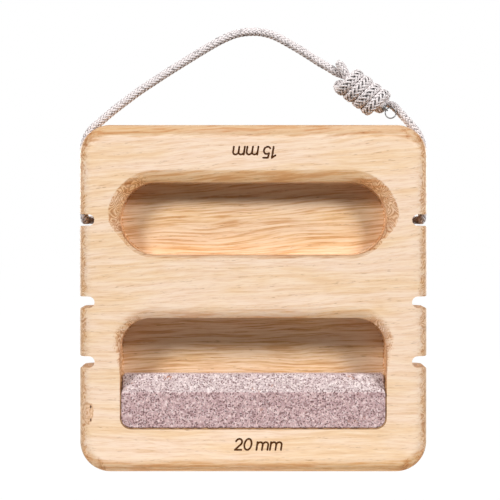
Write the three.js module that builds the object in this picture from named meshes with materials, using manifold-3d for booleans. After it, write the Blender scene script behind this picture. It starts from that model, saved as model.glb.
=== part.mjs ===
// Portable hangboard: a wooden board with a shallow pocket and a deep pocket edged in stone,
// hung on one loop of braided cord that is closed by a barrel knot.
// Millimetres, +Z up, +X to the right, front face towards -Y.
// The origin is the hanging point, inside the top of the cord loop.
// Lengths below are measured from the middle of the board unless their comment says otherwise.

import * as THREE from 'three';
import { mergeVertices } from 'three/addons/utils/BufferGeometryUtils.js';
import Module from 'manifold-3d';

const wasm = await Module();
wasm.setup();

// Board
const boardWidth = 200;
const boardHeight = 200;
const boardThickness = 38;
const boardCornerRadius = 17.5;
const boardEdgeRadius = 8;

// Clearance between pieces that touch, and how far a cutter runs past the face it opens
const clearance = 0.3;
const overrun = 6;

// Finger pockets: both share one width
const pocketWidth = 153;
const shallowPocketTop = 66.8;
const shallowPocketBottom = 25.3;
const shallowPocketDepth = 15;
const shallowPocketLip = 7.6;
const shallowPocketLowLip = 2.2;
const shallowPocketLipSlope = 0.2;
const lipWideningShares = [0.2, 0.55];
const deepPocketTop = -11.1;
const deepPocketBottom = -74.8;
const deepPocketDepth = 20;
const deepPocketTopRadius = 17.5;
const deepPocketLip = 7;
const deepPocketLipSlope = 0.05;
const lipSlopeGain = 0.048;

// Stone edge: a chamfered bar let into the lower part of the deep pocket, flush with the front face
const stoneHeight = 30.3;
const stoneJoint = 0.7;
const stoneLowRadius = 5.8;
const stoneHighRadius = 2;
const stoneChamferHeight = 9.6;
const stoneChamferDepth = 9.6;
const stoneArris = 0.6;
const glueThickness = 0.6;
const glueMargin = 4;

// Cord and the grooves and notches that guide it
const cordDiameter = 5;
const grooveWidth = 5.8;
const grooveDepth = 4.2;
const notchHeights = [45.2, -1.9, -36.2];
const notchDepth = 9;
const notchWidth = 6.6;
const notchMouthRadius = 1.2;
const cornerBend = 18;
const cornerBendStart = 86.2;
const seatBend = 5.6;
const backBend = 5.8;
const leftExitTurn = THREE.MathUtils.degToRad(50.3);
const rightExitTurn = THREE.MathUtils.degToRad(41.3);

// Swing axis of the board: it crosses the cord where it leaves the board's top corners
const swingHeight = 103;

// Top of the loop: height of the cord's centreline there
const apexHeight = 154.8;

// Free stretch of the loop from the left exit over the top to the knot, as x and z of its centreline
const loopRoute = [
  [-83.5, 107.3], [-78.2, 111.5], [-72.9, 115.5], [-66.7, 120.1], [-59, 125.2], [-49.7, 131.3],
  [-40.4, 137.1], [-31, 142.9], [-22.2, 148.1], [-15.7, 151.4], [-9.1, 153.8], [-3, 154.7], [0, 154.8],
  [3, 154.7], [8.6, 153.7], [13.7, 151.8], [20, 148.4], [27.3, 144.2], [33.3, 140.4], [38.9, 136.8],
];

// Barrel knot: its middle, the slope of its axis, and its wraps
const knotMiddle = [63.6, 119.6];
const knotSlope = Math.atan2(-3, 4);
const wrapTurns = 3.5;
const wrapLead = THREE.MathUtils.degToRad(60);
const wrapPitch = 6.4;
const wrapRadius = 7.25;
const wrapWidth = 5.9;
const wrapHeight = 4.4;
const coreRadius = 2.78;
const coreStrandDiameter = 4.2;
const coreTwist = THREE.MathUtils.degToRad(90);
const coreReach = 8.5;
const coreAngles = {
  through: THREE.MathUtils.degToRad(-20),
  tail: THREE.MathUtils.degToRad(100),
  standing: THREE.MathUtils.degToRad(220),
};

// Places on the two knotted strands outside the core and the wraps, in the knot's own frame:
// along its axis, up from it, and towards the front
const knotEntry = [[-24.5, -0.3, 0], [-19.5, 0.1, 0], [-15.6, 1.1, -1], [-12, 1.9, -1.8]];
const knotTurn = [[11.2, -2.3, -2.2], [13.3, -2.3, -3.7], [14.2, -1, -5.6], [13.7, 1.3, -6.7]];
const knotDive = [[-12, -6.6, -3], [-13.4, -5.3, -4.4], [-14.2, -3.9, -3.5], [-12.6, -3, -1.8]];
const knotTail = [[10.6, 0, 2.85], [14.8, 0, 2.85]];
const throughStub = [[-22.3, 5, 2.2], [-19, 4.6, 3], [-16, 3.2, 3.7], [-12.6, 1.5, 2.9]];
const throughExit = [
  [13.8, 2.8, -0.9], [17.4, 4.3, -0.8], [20, 4.5, -0.6], [22.5, 4.05, -0.4], [25.5, 3.51, -0.16],
];

// Whipping, eye crimp and ring on the tail of the knot
const whippingDiameter = 4.4;
const whippingWall = 0.55;
const crimpDiameter = 3.6;
const crimpLength = 1.1;
const eyeLength = 1.9;
const eyeThickness = 1.5;
const eyeWidth = 2.6;
const ringDiameter = 6.9;
const ringWire = 0.7;

// Fineness of the faceted shapes
const cornerSteps = 8;
const edgeSteps = 7;
const lipSteps = 4;
const fadeSteps = 3;
const arrisSteps = 2;
const cordSides = 10;
const bendSteps = 5;
const cordStep = 8;
const wrapSides = 6;
const stepsPerWrap = 24;

const cordRadius = cordDiameter / 2;
const frontFace = -boardThickness / 2;
const backFace = boardThickness / 2;
const cordLine = boardWidth / 2 - grooveDepth + cordRadius + clearance;
const originHeight = apexHeight - cordRadius;

// Solids and booleans

function toSolid(geometry) {
  const bare = geometry.clone();
  bare.deleteAttribute('normal');
  bare.deleteAttribute('uv');
  const merged = mergeVertices(bare);
  const vertProperties = Float32Array.from(merged.attributes.position.array);
  const triVerts = Uint32Array.from(merged.index.array);
  return new wasm.Manifold(new wasm.Mesh({ numProp: 3, vertProperties, triVerts }));
}

function toGeometry(solid) {
  const mesh = solid.getMesh();
  const geometry = new THREE.BufferGeometry();
  geometry.setAttribute('position', new THREE.BufferAttribute(mesh.vertProperties, mesh.numProp));
  geometry.setIndex(new THREE.BufferAttribute(mesh.triVerts, 1));
  geometry.computeVertexNormals();
  return geometry;
}

function cut(geometry, cutters) {
  let solid = toSolid(geometry);
  for (const cutter of cutters) {
    solid = solid.subtract(toSolid(cutter));
  }
  return toGeometry(solid);
}

function join(geometries) {
  let solid = toSolid(geometries[0]);
  for (const geometry of geometries.slice(1)) {
    solid = solid.add(toSolid(geometry));
  }
  return toGeometry(solid);
}

function signedVolume(points, triangles) {
  let volume = 0;
  for (let i = 0; i < triangles.length; i += 3) {
    const [a, b, c] = triangles.slice(i, i + 3).map((index) => points[index]);
    volume += a.dot(new THREE.Vector3().crossVectors(b, c));
  }
  return volume;
}

// Closed body through rings of points; the end rings are capped flat
function loft(rings, capTriangles) {
  const count = rings[0].length;
  const points = rings.flat();
  const triangles = [];
  for (let r = 0; r + 1 < rings.length; r += 1) {
    for (let i = 0; i < count; i += 1) {
      const next = (i + 1) % count;
      const [a, b] = [r * count + i, r * count + next];
      const [c, d] = [a + count, b + count];
      triangles.push(a, c, d, a, d, b);
    }
  }
  const last = (rings.length - 1) * count;
  for (const [a, b, c] of capTriangles) {
    triangles.push(a, b, c);
    triangles.push(last + a, last + c, last + b);
  }
  if (signedVolume(points, triangles) < 0) {
    triangles.reverse();
  }
  const geometry = new THREE.BufferGeometry().setFromPoints(points);
  geometry.setIndex(triangles);
  geometry.computeVertexNormals();
  return geometry;
}

// Outlines in the plane of the front face, as points with their outward directions

function arcOutline(x, z, radius, from, to, steps) {
  const points = [];
  for (let i = 0; i <= steps; i += 1) {
    const angle = THREE.MathUtils.lerp(from, to, i / steps);
    const [nx, nz] = [Math.cos(angle), Math.sin(angle)];
    points.push({ x: x + radius * nx, z: z + radius * nz, nx, nz });
  }
  return points;
}

// Rounded rectangle, with extra points on its straight sides at the heights given
function roundedOutline({ halfWidth, low, high, lowRadius, highRadius, sideHeights = [] }) {
  const quarter = Math.PI / 2;
  const [lowX, highX] = [halfWidth - lowRadius, halfWidth - highRadius];
  const [lowZ, highZ] = [low + lowRadius, high - highRadius];
  return [
    ...arcOutline(lowX, lowZ, lowRadius, -quarter, 0, cornerSteps),
    ...sideHeights.map((z) => ({ x: halfWidth, z, nx: 1, nz: 0 })),
    ...arcOutline(highX, highZ, highRadius, 0, quarter, cornerSteps),
    ...arcOutline(-highX, highZ, highRadius, quarter, 2 * quarter, cornerSteps),
    ...sideHeights.toReversed().map((z) => ({ x: -halfWidth, z, nx: -1, nz: 0 })),
    ...arcOutline(-lowX, lowZ, lowRadius, 2 * quarter, 3 * quarter, cornerSteps),
  ];
}

function outlineCap(outline) {
  const flat = outline.map(({ x, z }) => new THREE.Vector2(x, z));
  return THREE.ShapeUtils.triangulateShape(flat, []);
}

// How far a rounded edge has receded at a depth below the face that it starts from
function recess(radius, depth) {
  if (depth >= radius) {
    return 0;
  }
  return radius - Math.sqrt(radius ** 2 - (radius - depth) ** 2);
}

// Depths that step evenly round a quarter circle
function roundDepths(radius, steps) {
  const depths = [];
  for (let i = 0; i <= steps; i += 1) {
    depths.push(radius * (1 - Math.cos((Math.PI / 2) * (i / steps))));
  }
  return depths;
}

function ringAt(outline, offsetAt, depthAt) {
  return outline.map((point) => {
    const offset = offsetAt(point);
    return new THREE.Vector3(point.x + point.nx * offset, depthAt(point), point.z + point.nz * offset);
  });
}

// Board: blank with rounded edges, less pockets, notches, grooves and cord seats

function boardBlank() {
  const outline = roundedOutline({
    halfWidth: boardWidth / 2,
    low: -boardHeight / 2,
    high: boardHeight / 2,
    lowRadius: boardCornerRadius,
    highRadius: boardCornerRadius,
  });
  const depths = roundDepths(boardEdgeRadius, edgeSteps);
  const inset = (depth) => () => -recess(boardEdgeRadius, depth);
  const front = depths.map((depth) => ringAt(outline, inset(depth), () => frontFace + depth));
  const back = depths.map((depth) => ringAt(outline, inset(depth), () => backFace - depth));
  return loft([...front, ...back.reverse()], outlineCap(outline));
}

// Cutter for a pocket whose lip slopes in, ever steeper, over a width that can change along the outline
function pocketCutter({ outline, depth, lipAt, widestLip, lipSlope }) {
  const rings = [ringAt(outline, lipAt, () => frontFace - overrun)];
  for (let i = 0; i <= lipSteps; i += 1) {
    const inward = widestLip * (i / lipSteps);
    const offset = (point) => Math.max(lipAt(point) - inward, 0);
    const lipDepth = lipSlope * inward + (lipSlopeGain / 2) * inward ** 2;
    rings.push(ringAt(outline, offset, () => frontFace + lipDepth));
  }
  rings.push(ringAt(outline, () => 0, () => frontFace + depth));
  return loft(rings, outlineCap(outline));
}

// The lip of the shallow pocket is narrow along the ledge and widens up its round ends
function shallowPocketLipAt({ z }) {
  const height = shallowPocketTop - shallowPocketBottom;
  const [from, to] = lipWideningShares.map((share) => shallowPocketBottom + share * height);
  const { lerp, smoothstep } = THREE.MathUtils;
  return lerp(shallowPocketLowLip, shallowPocketLip, smoothstep(z, from, to));
}

function shallowPocketCutter() {
  const endRadius = (shallowPocketTop - shallowPocketBottom) / 2;
  const outline = roundedOutline({
    halfWidth: pocketWidth / 2,
    low: shallowPocketBottom,
    high: shallowPocketTop,
    lowRadius: endRadius,
    highRadius: endRadius,
  });
  return pocketCutter({
    outline,
    depth: shallowPocketDepth,
    lipAt: shallowPocketLipAt,
    widestLip: shallowPocketLip,
    lipSlope: shallowPocketLipSlope,
  });
}

const stoneTop = deepPocketBottom + stoneJoint + stoneHeight;

// The lip of the deep pocket fades out down its sides and is gone beside the stone
function deepPocketLipAt({ z }) {
  const share = THREE.MathUtils.clamp((z - stoneTop) / (deepPocketTop - stoneTop), 0, 1);
  return deepPocketLip * Math.sin((Math.PI / 2) * share);
}

function deepPocketCutter() {
  const lipEnd = deepPocketTop - deepPocketTopRadius;
  const sideHeights = [];
  for (let i = 0; i < fadeSteps; i += 1) {
    sideHeights.push(THREE.MathUtils.lerp(stoneTop, lipEnd, i / fadeSteps));
  }
  const outline = roundedOutline({
    halfWidth: pocketWidth / 2,
    low: deepPocketBottom,
    high: deepPocketTop,
    lowRadius: stoneLowRadius + stoneJoint,
    highRadius: deepPocketTopRadius,
    sideHeights,
  });
  return pocketCutter({
    outline,
    depth: deepPocketDepth,
    lipAt: deepPocketLipAt,
    widestLip: deepPocketLip,
    lipSlope: deepPocketLipSlope,
  });
}

// Body of a shape drawn in the plane of the front face, reaching equally far in front and behind
function throughBody(shape, depth) {
  const geometry = new THREE.ExtrudeGeometry(shape, {
    depth,
    bevelEnabled: false,
    curveSegments: cornerSteps,
  });
  return geometry.rotateX(Math.PI / 2).translate(0, depth / 2, 0);
}

// Cutter for one notch in the right side at mid height, with a round inner end and a rounded mouth
function notchCutter() {
  const quarter = Math.PI / 2;
  const half = notchWidth / 2;
  const side = boardWidth / 2;
  const edge = half + notchMouthRadius;
  const shape = new THREE.Shape();
  shape.absarc(side - notchDepth + half, 0, half, quarter, 3 * quarter, false);
  shape.absarc(side - notchMouthRadius, -edge, notchMouthRadius, quarter, 0, true);
  shape.lineTo(side + overrun, -edge);
  shape.lineTo(side + overrun, edge);
  shape.absarc(side - notchMouthRadius, edge, notchMouthRadius, 0, -quarter, true);
  return throughBody(shape, boardThickness + 2 * overrun);
}

// Cutter for the groove of the right side, which runs out over both corners of the board
function grooveCutter() {
  const floor = boardWidth / 2 - grooveDepth;
  const radius = cornerBend - (cordLine - floor);
  const centre = cordLine - cornerBend;
  const runOut = boardCornerRadius + overrun;
  const outside = boardWidth / 2 + overrun;
  const turn = leftExitTurn;
  const arcEnd = [centre + radius * Math.cos(turn), cornerBendStart + radius * Math.sin(turn)];
  const tip = [arcEnd[0] - runOut * Math.sin(turn), arcEnd[1] + runOut * Math.cos(turn)];
  const shape = new THREE.Shape();
  shape.moveTo(floor, -cornerBendStart);
  shape.lineTo(floor, cornerBendStart);
  shape.absarc(centre, cornerBendStart, radius, 0, turn, false);
  shape.lineTo(...tip);
  shape.lineTo(outside, tip[1]);
  shape.lineTo(outside, -tip[1]);
  shape.lineTo(tip[0], -tip[1]);
  shape.absarc(centre, -cornerBendStart, radius, -turn, 0, false);
  return throughBody(shape, grooveWidth);
}

// Routes: points joined by straight runs, with every inner point rounded off by its radius

function roundedRoute(corners, steps) {
  const route = [corners[0].point];
  for (let i = 1; i + 1 < corners.length; i += 1) {
    const { point, radius } = corners[i];
    const toward = corners[i - 1].point.clone().sub(point).normalize();
    const away = corners[i + 1].point.clone().sub(point).normalize();
    const turn = Math.PI - toward.angleTo(away);
    const tangent = radius * Math.tan(turn / 2);
    const bisector = toward.clone().add(away).normalize();
    const centre = point.clone().addScaledVector(bisector, radius / Math.cos(turn / 2));
    const start = point.clone().addScaledVector(toward, tangent).sub(centre);
    const end = point.clone().addScaledVector(away, tangent).sub(centre);
    for (let k = 0; k <= steps; k += 1) {
      const angle = turn * (k / steps);
      const arm = start.clone().multiplyScalar(Math.sin(turn - angle) / Math.sin(turn));
      arm.addScaledVector(end, Math.sin(angle) / Math.sin(turn));
      route.push(centre.clone().add(arm));
    }
  }
  route.push(corners.at(-1).point);
  return route;
}

// Path with one step at each of its points
class StationPath extends THREE.Curve {
  constructor(points) {
    super();
    this.points = points;
  }

  getPoint(t, target = new THREE.Vector3()) {
    const last = this.points.length - 1;
    const index = Math.min(Math.floor(t * last), last - 1);
    return target.lerpVectors(this.points[index], this.points[index + 1], t * last - index);
  }

  getPointAt(u, target) {
    return this.getPoint(u, target);
  }

  getTangentAt(u, target = new THREE.Vector3()) {
    const last = this.points.length - 1;
    const index = Math.round(u * last);
    const before = this.points[Math.max(index - 1, 0)];
    const after = this.points[Math.min(index + 1, last)];
    return target.subVectors(after, before).normalize();
  }
}

function tube(points, radius, sides) {
  const section = [];
  for (let i = 0; i < sides; i += 1) {
    const angle = (2 * Math.PI * i) / sides;
    section.push(new THREE.Vector2(radius * Math.cos(angle), radius * Math.sin(angle)));
  }
  return new THREE.ExtrudeGeometry(new THREE.Shape(section), {
    steps: points.length - 1,
    extrudePath: new StationPath(points),
    bevelEnabled: false,
  });
}

// Seat that eases the cord's bend from the groove into a notch and on towards the back
function seatCutter(side, notchHeight, direction) {
  const x = side * cordLine;
  const reach = seatBend + notchWidth;
  const corners = [
    { point: new THREE.Vector3(x, 0, notchHeight + direction * reach) },
    { point: new THREE.Vector3(x, 0, notchHeight), radius: seatBend },
    { point: new THREE.Vector3(x, reach, notchHeight) },
  ];
  return tube(roundedRoute(corners, bendSteps), cordRadius + clearance, cordSides);
}

function woodBoard() {
  const cutters = [shallowPocketCutter(), deepPocketCutter()];
  for (const side of [-1, 1]) {
    const turned = side < 0 ? Math.PI : 0;
    cutters.push(grooveCutter().rotateZ(turned));
    for (const notchHeight of notchHeights) {
      cutters.push(notchCutter().rotateZ(turned).translate(0, 0, notchHeight));
      cutters.push(seatCutter(side, notchHeight, 1), seatCutter(side, notchHeight, -1));
    }
  }
  return cut(boardBlank(), cutters);
}

// Stone edge and the bed of glue behind it

const glueFront = frontFace + deepPocketDepth - clearance - glueThickness;
const stoneBack = glueFront - clearance;

// How far the chamfer still lies below the top of the stone at a depth behind the front face
function chamferDrop(depth) {
  return stoneChamferHeight * Math.max(1 - depth / stoneChamferDepth, 0);
}

function stoneEdge() {
  const outlineAt = (depth) => roundedOutline({
    halfWidth: pocketWidth / 2 - stoneJoint,
    low: deepPocketBottom + stoneJoint,
    high: stoneTop - chamferDrop(depth),
    lowRadius: stoneLowRadius,
    highRadius: stoneHighRadius,
  });
  const depths = [...roundDepths(stoneArris, arrisSteps), stoneChamferDepth];
  const rings = depths.map((depth) => (
    ringAt(outlineAt(depth), () => -recess(stoneArris, depth), () => frontFace + depth)));
  const whole = outlineAt(stoneChamferDepth);
  rings.push(ringAt(whole, () => 0, () => stoneBack));
  return loft(rings, outlineCap(whole));
}

function stoneGlue() {
  const width = pocketWidth - 2 * (stoneJoint + glueMargin);
  const height = stoneHeight - 2 * glueMargin;
  const geometry = new THREE.BoxGeometry(width, glueThickness, height);
  geometry.translate(0, glueFront + glueThickness / 2, stoneTop - stoneHeight / 2);
  return geometry;
}

// Cord: the run that the board holds, and the two free stretches

const exitCorner = (turn) => cornerBendStart + cornerBend * Math.tan(turn / 2);

// Where the cord's centreline crosses the swing axis on one side
function exitPoint(side, turn) {
  const x = cordLine - (swingHeight - exitCorner(turn)) * Math.tan(turn);
  return new THREE.Vector3(side * x, 0, swingHeight);
}

const leftExit = exitPoint(-1, leftExitTurn);
const rightExit = exitPoint(1, rightExitTurn);
const domeRadius = cordRadius * Math.cos(Math.PI / cordSides) - clearance / 2;

// The run stops short of the domed end of the free stretch that turns on the swing axis
function runEnd(side, turn) {
  const gap = domeRadius + clearance;
  const back = new THREE.Vector3(side * Math.sin(turn), 0, -Math.cos(turn));
  return exitPoint(side, turn).addScaledVector(back, gap);
}

function runSide(side, turn) {
  const x = side * cordLine;
  const behind = backFace + clearance + cordRadius;
  return [
    { point: runEnd(side, turn) },
    { point: new THREE.Vector3(x, 0, exitCorner(turn)), radius: cornerBend },
    { point: new THREE.Vector3(x, 0, notchHeights[0]), radius: seatBend },
    { point: new THREE.Vector3(x, behind, notchHeights[0]), radius: backBend },
  ];
}

function cordBoardRun() {
  const corners = [...runSide(-1, leftExitTurn), ...runSide(1, rightExitTurn).reverse()];
  return tube(roundedRoute(corners, bendSteps), cordRadius, cordSides);
}

function withDome(points, geometry) {
  const dome = new THREE.SphereGeometry(domeRadius, cordSides, cordSides / 2);
  dome.translate(...points[0].toArray());
  return join([geometry, dome]);
}

// Knot: a point in its own frame, and the same point in the board's

const knotAlong = new THREE.Vector3(Math.cos(knotSlope), 0, Math.sin(knotSlope));
const knotUp = new THREE.Vector3(-Math.sin(knotSlope), 0, Math.cos(knotSlope));
const knotFront = new THREE.Vector3(0, -1, 0);
const knotCentre = new THREE.Vector3(knotMiddle[0], 0, knotMiddle[1]);

function knotPoint([along, up, front]) {
  const point = knotCentre.clone().addScaledVector(knotAlong, along);
  return point.addScaledVector(knotUp, up).addScaledVector(knotFront, front);
}

function inKnot(point) {
  const arm = point.clone().sub(knotCentre);
  return [arm.dot(knotAlong), arm.dot(knotUp), arm.dot(knotFront)];
}

function aroundAxis(along, radius, angle) {
  return [along, radius * Math.cos(angle), radius * Math.sin(angle)];
}

// The three strands in the core twist round each other from one end to the other
function corePoint(strand, along) {
  const share = (coreReach - along) / (2 * coreReach);
  return aroundAxis(along, coreRadius, coreAngles[strand] + coreTwist * share);
}

function corePoints(strand) {
  const places = [-coreReach, -coreReach / 2, 0, coreReach / 2, coreReach];
  return places.map((along) => corePoint(strand, along));
}

function wrapPoints() {
  const points = [];
  const whole = 2 * Math.PI;
  const steps = Math.round((wrapTurns + wrapLead / whole) * stepsPerWrap);
  for (let i = 0; i <= steps; i += 1) {
    const angle = THREE.MathUtils.lerp(-wrapLead, whole * wrapTurns, i / steps);
    const along = wrapPitch * (wrapTurns / 2 - angle / whole);
    points.push(aroundAxis(along, wrapRadius, angle));
  }
  return points;
}

// Smooth route through the points, with its first and last stretches kept straight
function smoothRoute(points, step) {
  const curve = new THREE.CatmullRomCurve3(points.slice(1, -1), false, 'centripetal');
  const steps = Math.round(curve.getLength() / step);
  return [points[0], ...curve.getSpacedPoints(steps), points.at(-1)];
}

// One unbroken strand: in through the core, back over it in wraps, and out through the core
function wrappedRoute() {
  const places = [
    ...knotEntry,
    ...corePoints('standing'),
    ...knotTurn,
    ...wrapPoints(),
    ...knotDive,
    ...corePoints('tail'),
    ...knotTail,
  ];
  return smoothRoute(places.map(knotPoint), (2 * Math.PI * wrapRadius) / stepsPerWrap);
}

// The other strand: straight through the core, with its cut end standing out at the left
function throughRoute() {
  const places = [...throughStub, ...corePoints('through'), ...throughExit.slice(0, -1)];
  return smoothRoute(places.map(knotPoint), cordDiameter / 2);
}

function tangents(points) {
  return points.map((point, i) => {
    const before = points[Math.max(i - 1, 0)];
    const after = points[Math.min(i + 1, points.length - 1)];
    return after.clone().sub(before).normalize();
  });
}

function distances(points) {
  const result = [0];
  for (let i = 1; i < points.length; i += 1) {
    result.push(result[i - 1] + points[i].distanceTo(points[i - 1]));
  }
  return result;
}

function squareTo(vector, tangent) {
  return vector.clone().addScaledVector(tangent, -vector.dot(tangent)).normalize();
}

// Directions across the strand: outwards from the knot's axis in the wraps, carried along elsewhere
function outwardDirections(points, along) {
  const directions = points.map((point, i) => {
    const [, up, front] = inKnot(point);
    const wrapped = Math.hypot(up, front) > wrapRadius - clearance;
    const outward = knotUp.clone().multiplyScalar(up).addScaledVector(knotFront, front);
    return wrapped ? squareTo(outward, along[i]) : null;
  });
  const first = directions.findIndex((direction) => direction !== null);
  if (first < 0) {
    directions[0] = squareTo(knotUp, along[0]);
  }
  for (let i = first - 1; i >= 0; i -= 1) {
    directions[i] = squareTo(directions[i + 1], along[i]);
  }
  for (let i = Math.max(first, 0) + 1; i < points.length; i += 1) {
    directions[i] = directions[i] ?? squareTo(directions[i - 1], along[i]);
  }
  return directions;
}

// Rings of a strand whose section, half across and half outwards, changes along it
function strandRings(points, sectionAt, sides) {
  const along = tangents(points);
  const outward = outwardDirections(points, along);
  const far = distances(points);
  const total = far.at(-1);
  return points.map((point, i) => {
    const across = new THREE.Vector3().crossVectors(along[i], outward[i]);
    const [halfAcross, halfOut] = sectionAt(point, far[i], total - far[i]);
    const ring = [];
    for (let k = 0; k < sides; k += 1) {
      const angle = (2 * Math.PI * k) / sides;
      const corner = point.clone().addScaledVector(across, halfAcross * Math.cos(angle));
      ring.push(corner.addScaledVector(outward[i], halfOut * Math.sin(angle)));
    }
    return ring;
  });
}

function fanCap(count) {
  const triangles = [];
  for (let i = 1; i + 1 < count; i += 1) {
    triangles.push([0, i, i + 1]);
  }
  return triangles;
}

const coreStrandRadius = coreStrandDiameter / 2;
const neckRadius = whippingDiameter / 2 - whippingWall - clearance;
const tailStart = knotPoint(knotTail[0]);
const tailEnd = knotPoint(knotTail[1]);
const tailLength = tailStart.distanceTo(tailEnd);

// Section of the wrapped strand: full at the entry, drawn in through the core, flattened in the
// wraps, and thinned where the whipping grips its tail
function wrappedSection(point, fromStart, fromEnd) {
  const [, up, front] = inKnot(point);
  const reach = Math.hypot(up, front);
  const { smoothstep, lerp } = THREE.MathUtils;
  const drawnIn = smoothstep(fromStart, cordDiameter, 2 * cordDiameter + coreRadius);
  const necked = smoothstep(fromEnd, tailLength + clearance, tailLength + coreStrandRadius);
  const wrapped = smoothstep(reach, coreRadius + coreStrandRadius / 2, wrapRadius - clearance);
  const round = Math.min(
    lerp(cordRadius, coreStrandRadius, drawnIn),
    lerp(neckRadius, coreStrandRadius, necked) + (fromStart < fromEnd ? cordRadius : 0),
  );
  return [lerp(round, wrapWidth / 2, wrapped), lerp(round, wrapHeight / 2, wrapped)];
}

// Section of the through strand: its cut end is rounded, and it is drawn in through the core
function throughSection(point, fromStub, fromExit) {
  const { smoothstep, lerp } = THREE.MathUtils;
  const stub = smoothstep(fromStub, 2 * cordDiameter, 3 * cordDiameter);
  const exit = smoothstep(fromExit, cordRadius, cordDiameter + cordRadius);
  const radius = lerp(cordRadius, coreStrandRadius, Math.min(stub, exit));
  const rounding = recess(cordRadius, Math.max(fromStub, clearance));
  return [radius - rounding, radius - rounding];
}

// Least distance between parts of a strand that lie further apart along it than a close bend
function leastGap(rings, points) {
  const far = distances(points);
  const apart = 3 * cordDiameter;
  const surface = rings.map((ring) => ring.flatMap((corner, k) => (
    [corner, corner.clone().lerp(ring[(k + 1) % ring.length], 1 / 2)])));
  let least = Infinity;
  for (let i = 0; i < rings.length; i += 1) {
    for (let j = i + 1; j < rings.length; j += 1) {
      const close = points[i].distanceTo(points[j]) < 2 * cordDiameter;
      if (close && far[j] - far[i] > apart) {
        for (const a of surface[i]) {
          for (const b of surface[j]) {
            least = Math.min(least, a.distanceTo(b));
          }
        }
      }
    }
  }
  return least;
}

function knotWraps() {
  const route = wrappedRoute();
  const rings = strandRings(route, wrappedSection, wrapSides);
  console.log(`Least gap of the wrapped strand to itself: ${leastGap(rings, route).toFixed(2)} mm`);
  return loft(rings, fanCap(wrapSides));
}

function knotThroughStrand() {
  const rings = strandRings(throughRoute(), throughSection, cordSides);
  return loft(rings, fanCap(cordSides));
}

// Free stretches: from the swing axis to the faces of the knotted strands

function towards(from, to, distance) {
  return from.clone().addScaledVector(to.clone().sub(from).normalize(), distance);
}

function cordLeftStretch() {
  const face = towards(knotPoint(knotEntry[0]), knotPoint(knotEntry[1]), -clearance);
  const before = towards(face, knotPoint(knotEntry[1]), -cordDiameter);
  const route = loopRoute.map(([x, z]) => new THREE.Vector3(x, 0, z));
  const points = smoothRoute([leftExit, leftExit, ...route, before, face], cordStep).slice(1);
  return withDome(points, tube(points, cordRadius, cordSides));
}

function cordRightStretch() {
  const [last, next] = throughExit.slice(-2).map(knotPoint);
  const face = towards(last, next, clearance);
  const points = smoothRoute([rightExit, rightExit, next, face], cordStep / 2).slice(1);
  return withDome(points, tube(points, cordRadius, cordSides));
}

// Whipping, crimp and ring on the tail

const turnedToKnot = new THREE.Matrix4().makeBasis(knotUp, knotAlong, knotFront.clone().negate());

// Moves a geometry from its own Y axis onto the line of the tail, past its end by a distance
function ontoTail(geometry, pastEnd) {
  const place = tailEnd.clone().addScaledVector(knotAlong, pastEnd);
  return geometry.applyMatrix4(turnedToKnot).translate(...place.toArray());
}

function tailWhipping() {
  const outer = whippingDiameter / 2;
  const inner = outer - whippingWall;
  const profile = [[inner, -tailLength], [outer, -tailLength], [outer, 0], [inner, 0]];
  profile.push(profile[0]);
  const points = profile.map(([x, y]) => new THREE.Vector2(x, y));
  return ontoTail(new THREE.LatheGeometry(points, 2 * cordSides), 0);
}

const eyeMiddle = clearance + crimpLength + eyeLength / 2;

function tailCrimp() {
  const barrel = new THREE.CylinderGeometry(crimpDiameter / 2, crimpDiameter / 2, crimpLength, cordSides);
  barrel.translate(0, clearance + crimpLength / 2, 0);
  const sunk = crimpLength / 2;
  const eye = new THREE.BoxGeometry(eyeThickness, eyeLength + sunk, eyeWidth);
  eye.translate(0, eyeMiddle - sunk / 2, 0);
  const holeRadius = ringWire / 2 + clearance;
  const hole = new THREE.CylinderGeometry(holeRadius, holeRadius, 2 * eyeThickness, cordSides);
  hole.rotateZ(Math.PI / 2).translate(0, eyeMiddle, 0);
  return ontoTail(cut(join([barrel, eye]), [hole]), 0);
}

function tailRing() {
  const radius = (ringDiameter - ringWire) / 2;
  const ring = new THREE.TorusGeometry(radius, ringWire / 2, wrapSides, stepsPerWrap);
  return ontoTail(ring, eyeMiddle + radius);
}

// Assembly

const looks = {
  wood: { color: 0xe6c59c, roughness: 0.6, metalness: 0 },
  stone: { color: 0xc4acb2, roughness: 0.75, metalness: 0 },
  glue: { color: 0x8a7660, roughness: 0.5, metalness: 0 },
  cord: { color: 0xd9d0d2, roughness: 0.85, metalness: 0 },
  thread: { color: 0xeee4e2, roughness: 0.7, metalness: 0 },
  metal: { color: 0x8f908d, roughness: 0.35, metalness: 1 },
};

const pieces = [
  ['wood_board', woodBoard(), looks.wood],
  ['stone_edge', stoneEdge(), looks.stone],
  ['stone_glue_bed', stoneGlue(), looks.glue],
  ['cord_board_run', cordBoardRun(), looks.cord],
  ['cord_left_stretch', cordLeftStretch(), looks.cord],
  ['cord_right_stretch', cordRightStretch(), looks.cord],
  ['knot_wraps', knotWraps(), looks.cord],
  ['knot_through_strand', knotThroughStrand(), looks.cord],
  ['tail_whipping', tailWhipping(), looks.thread],
  ['tail_crimp', tailCrimp(), looks.metal],
  ['tail_ring', tailRing(), looks.metal],
];

const hangboard = new THREE.Group();
hangboard.position.z = -originHeight;
for (const [name, geometry, look] of pieces) {
  const mesh = new THREE.Mesh(geometry, new THREE.MeshStandardMaterial(look));
  mesh.name = name;
  hangboard.add(mesh);
}

export default hangboard;
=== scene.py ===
from math import acos, atan, atan2, ceil, cos, pi, radians, sin, sqrt, tan, tanh, tau

import bpy
import numpy as np
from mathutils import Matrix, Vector, noise


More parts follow.
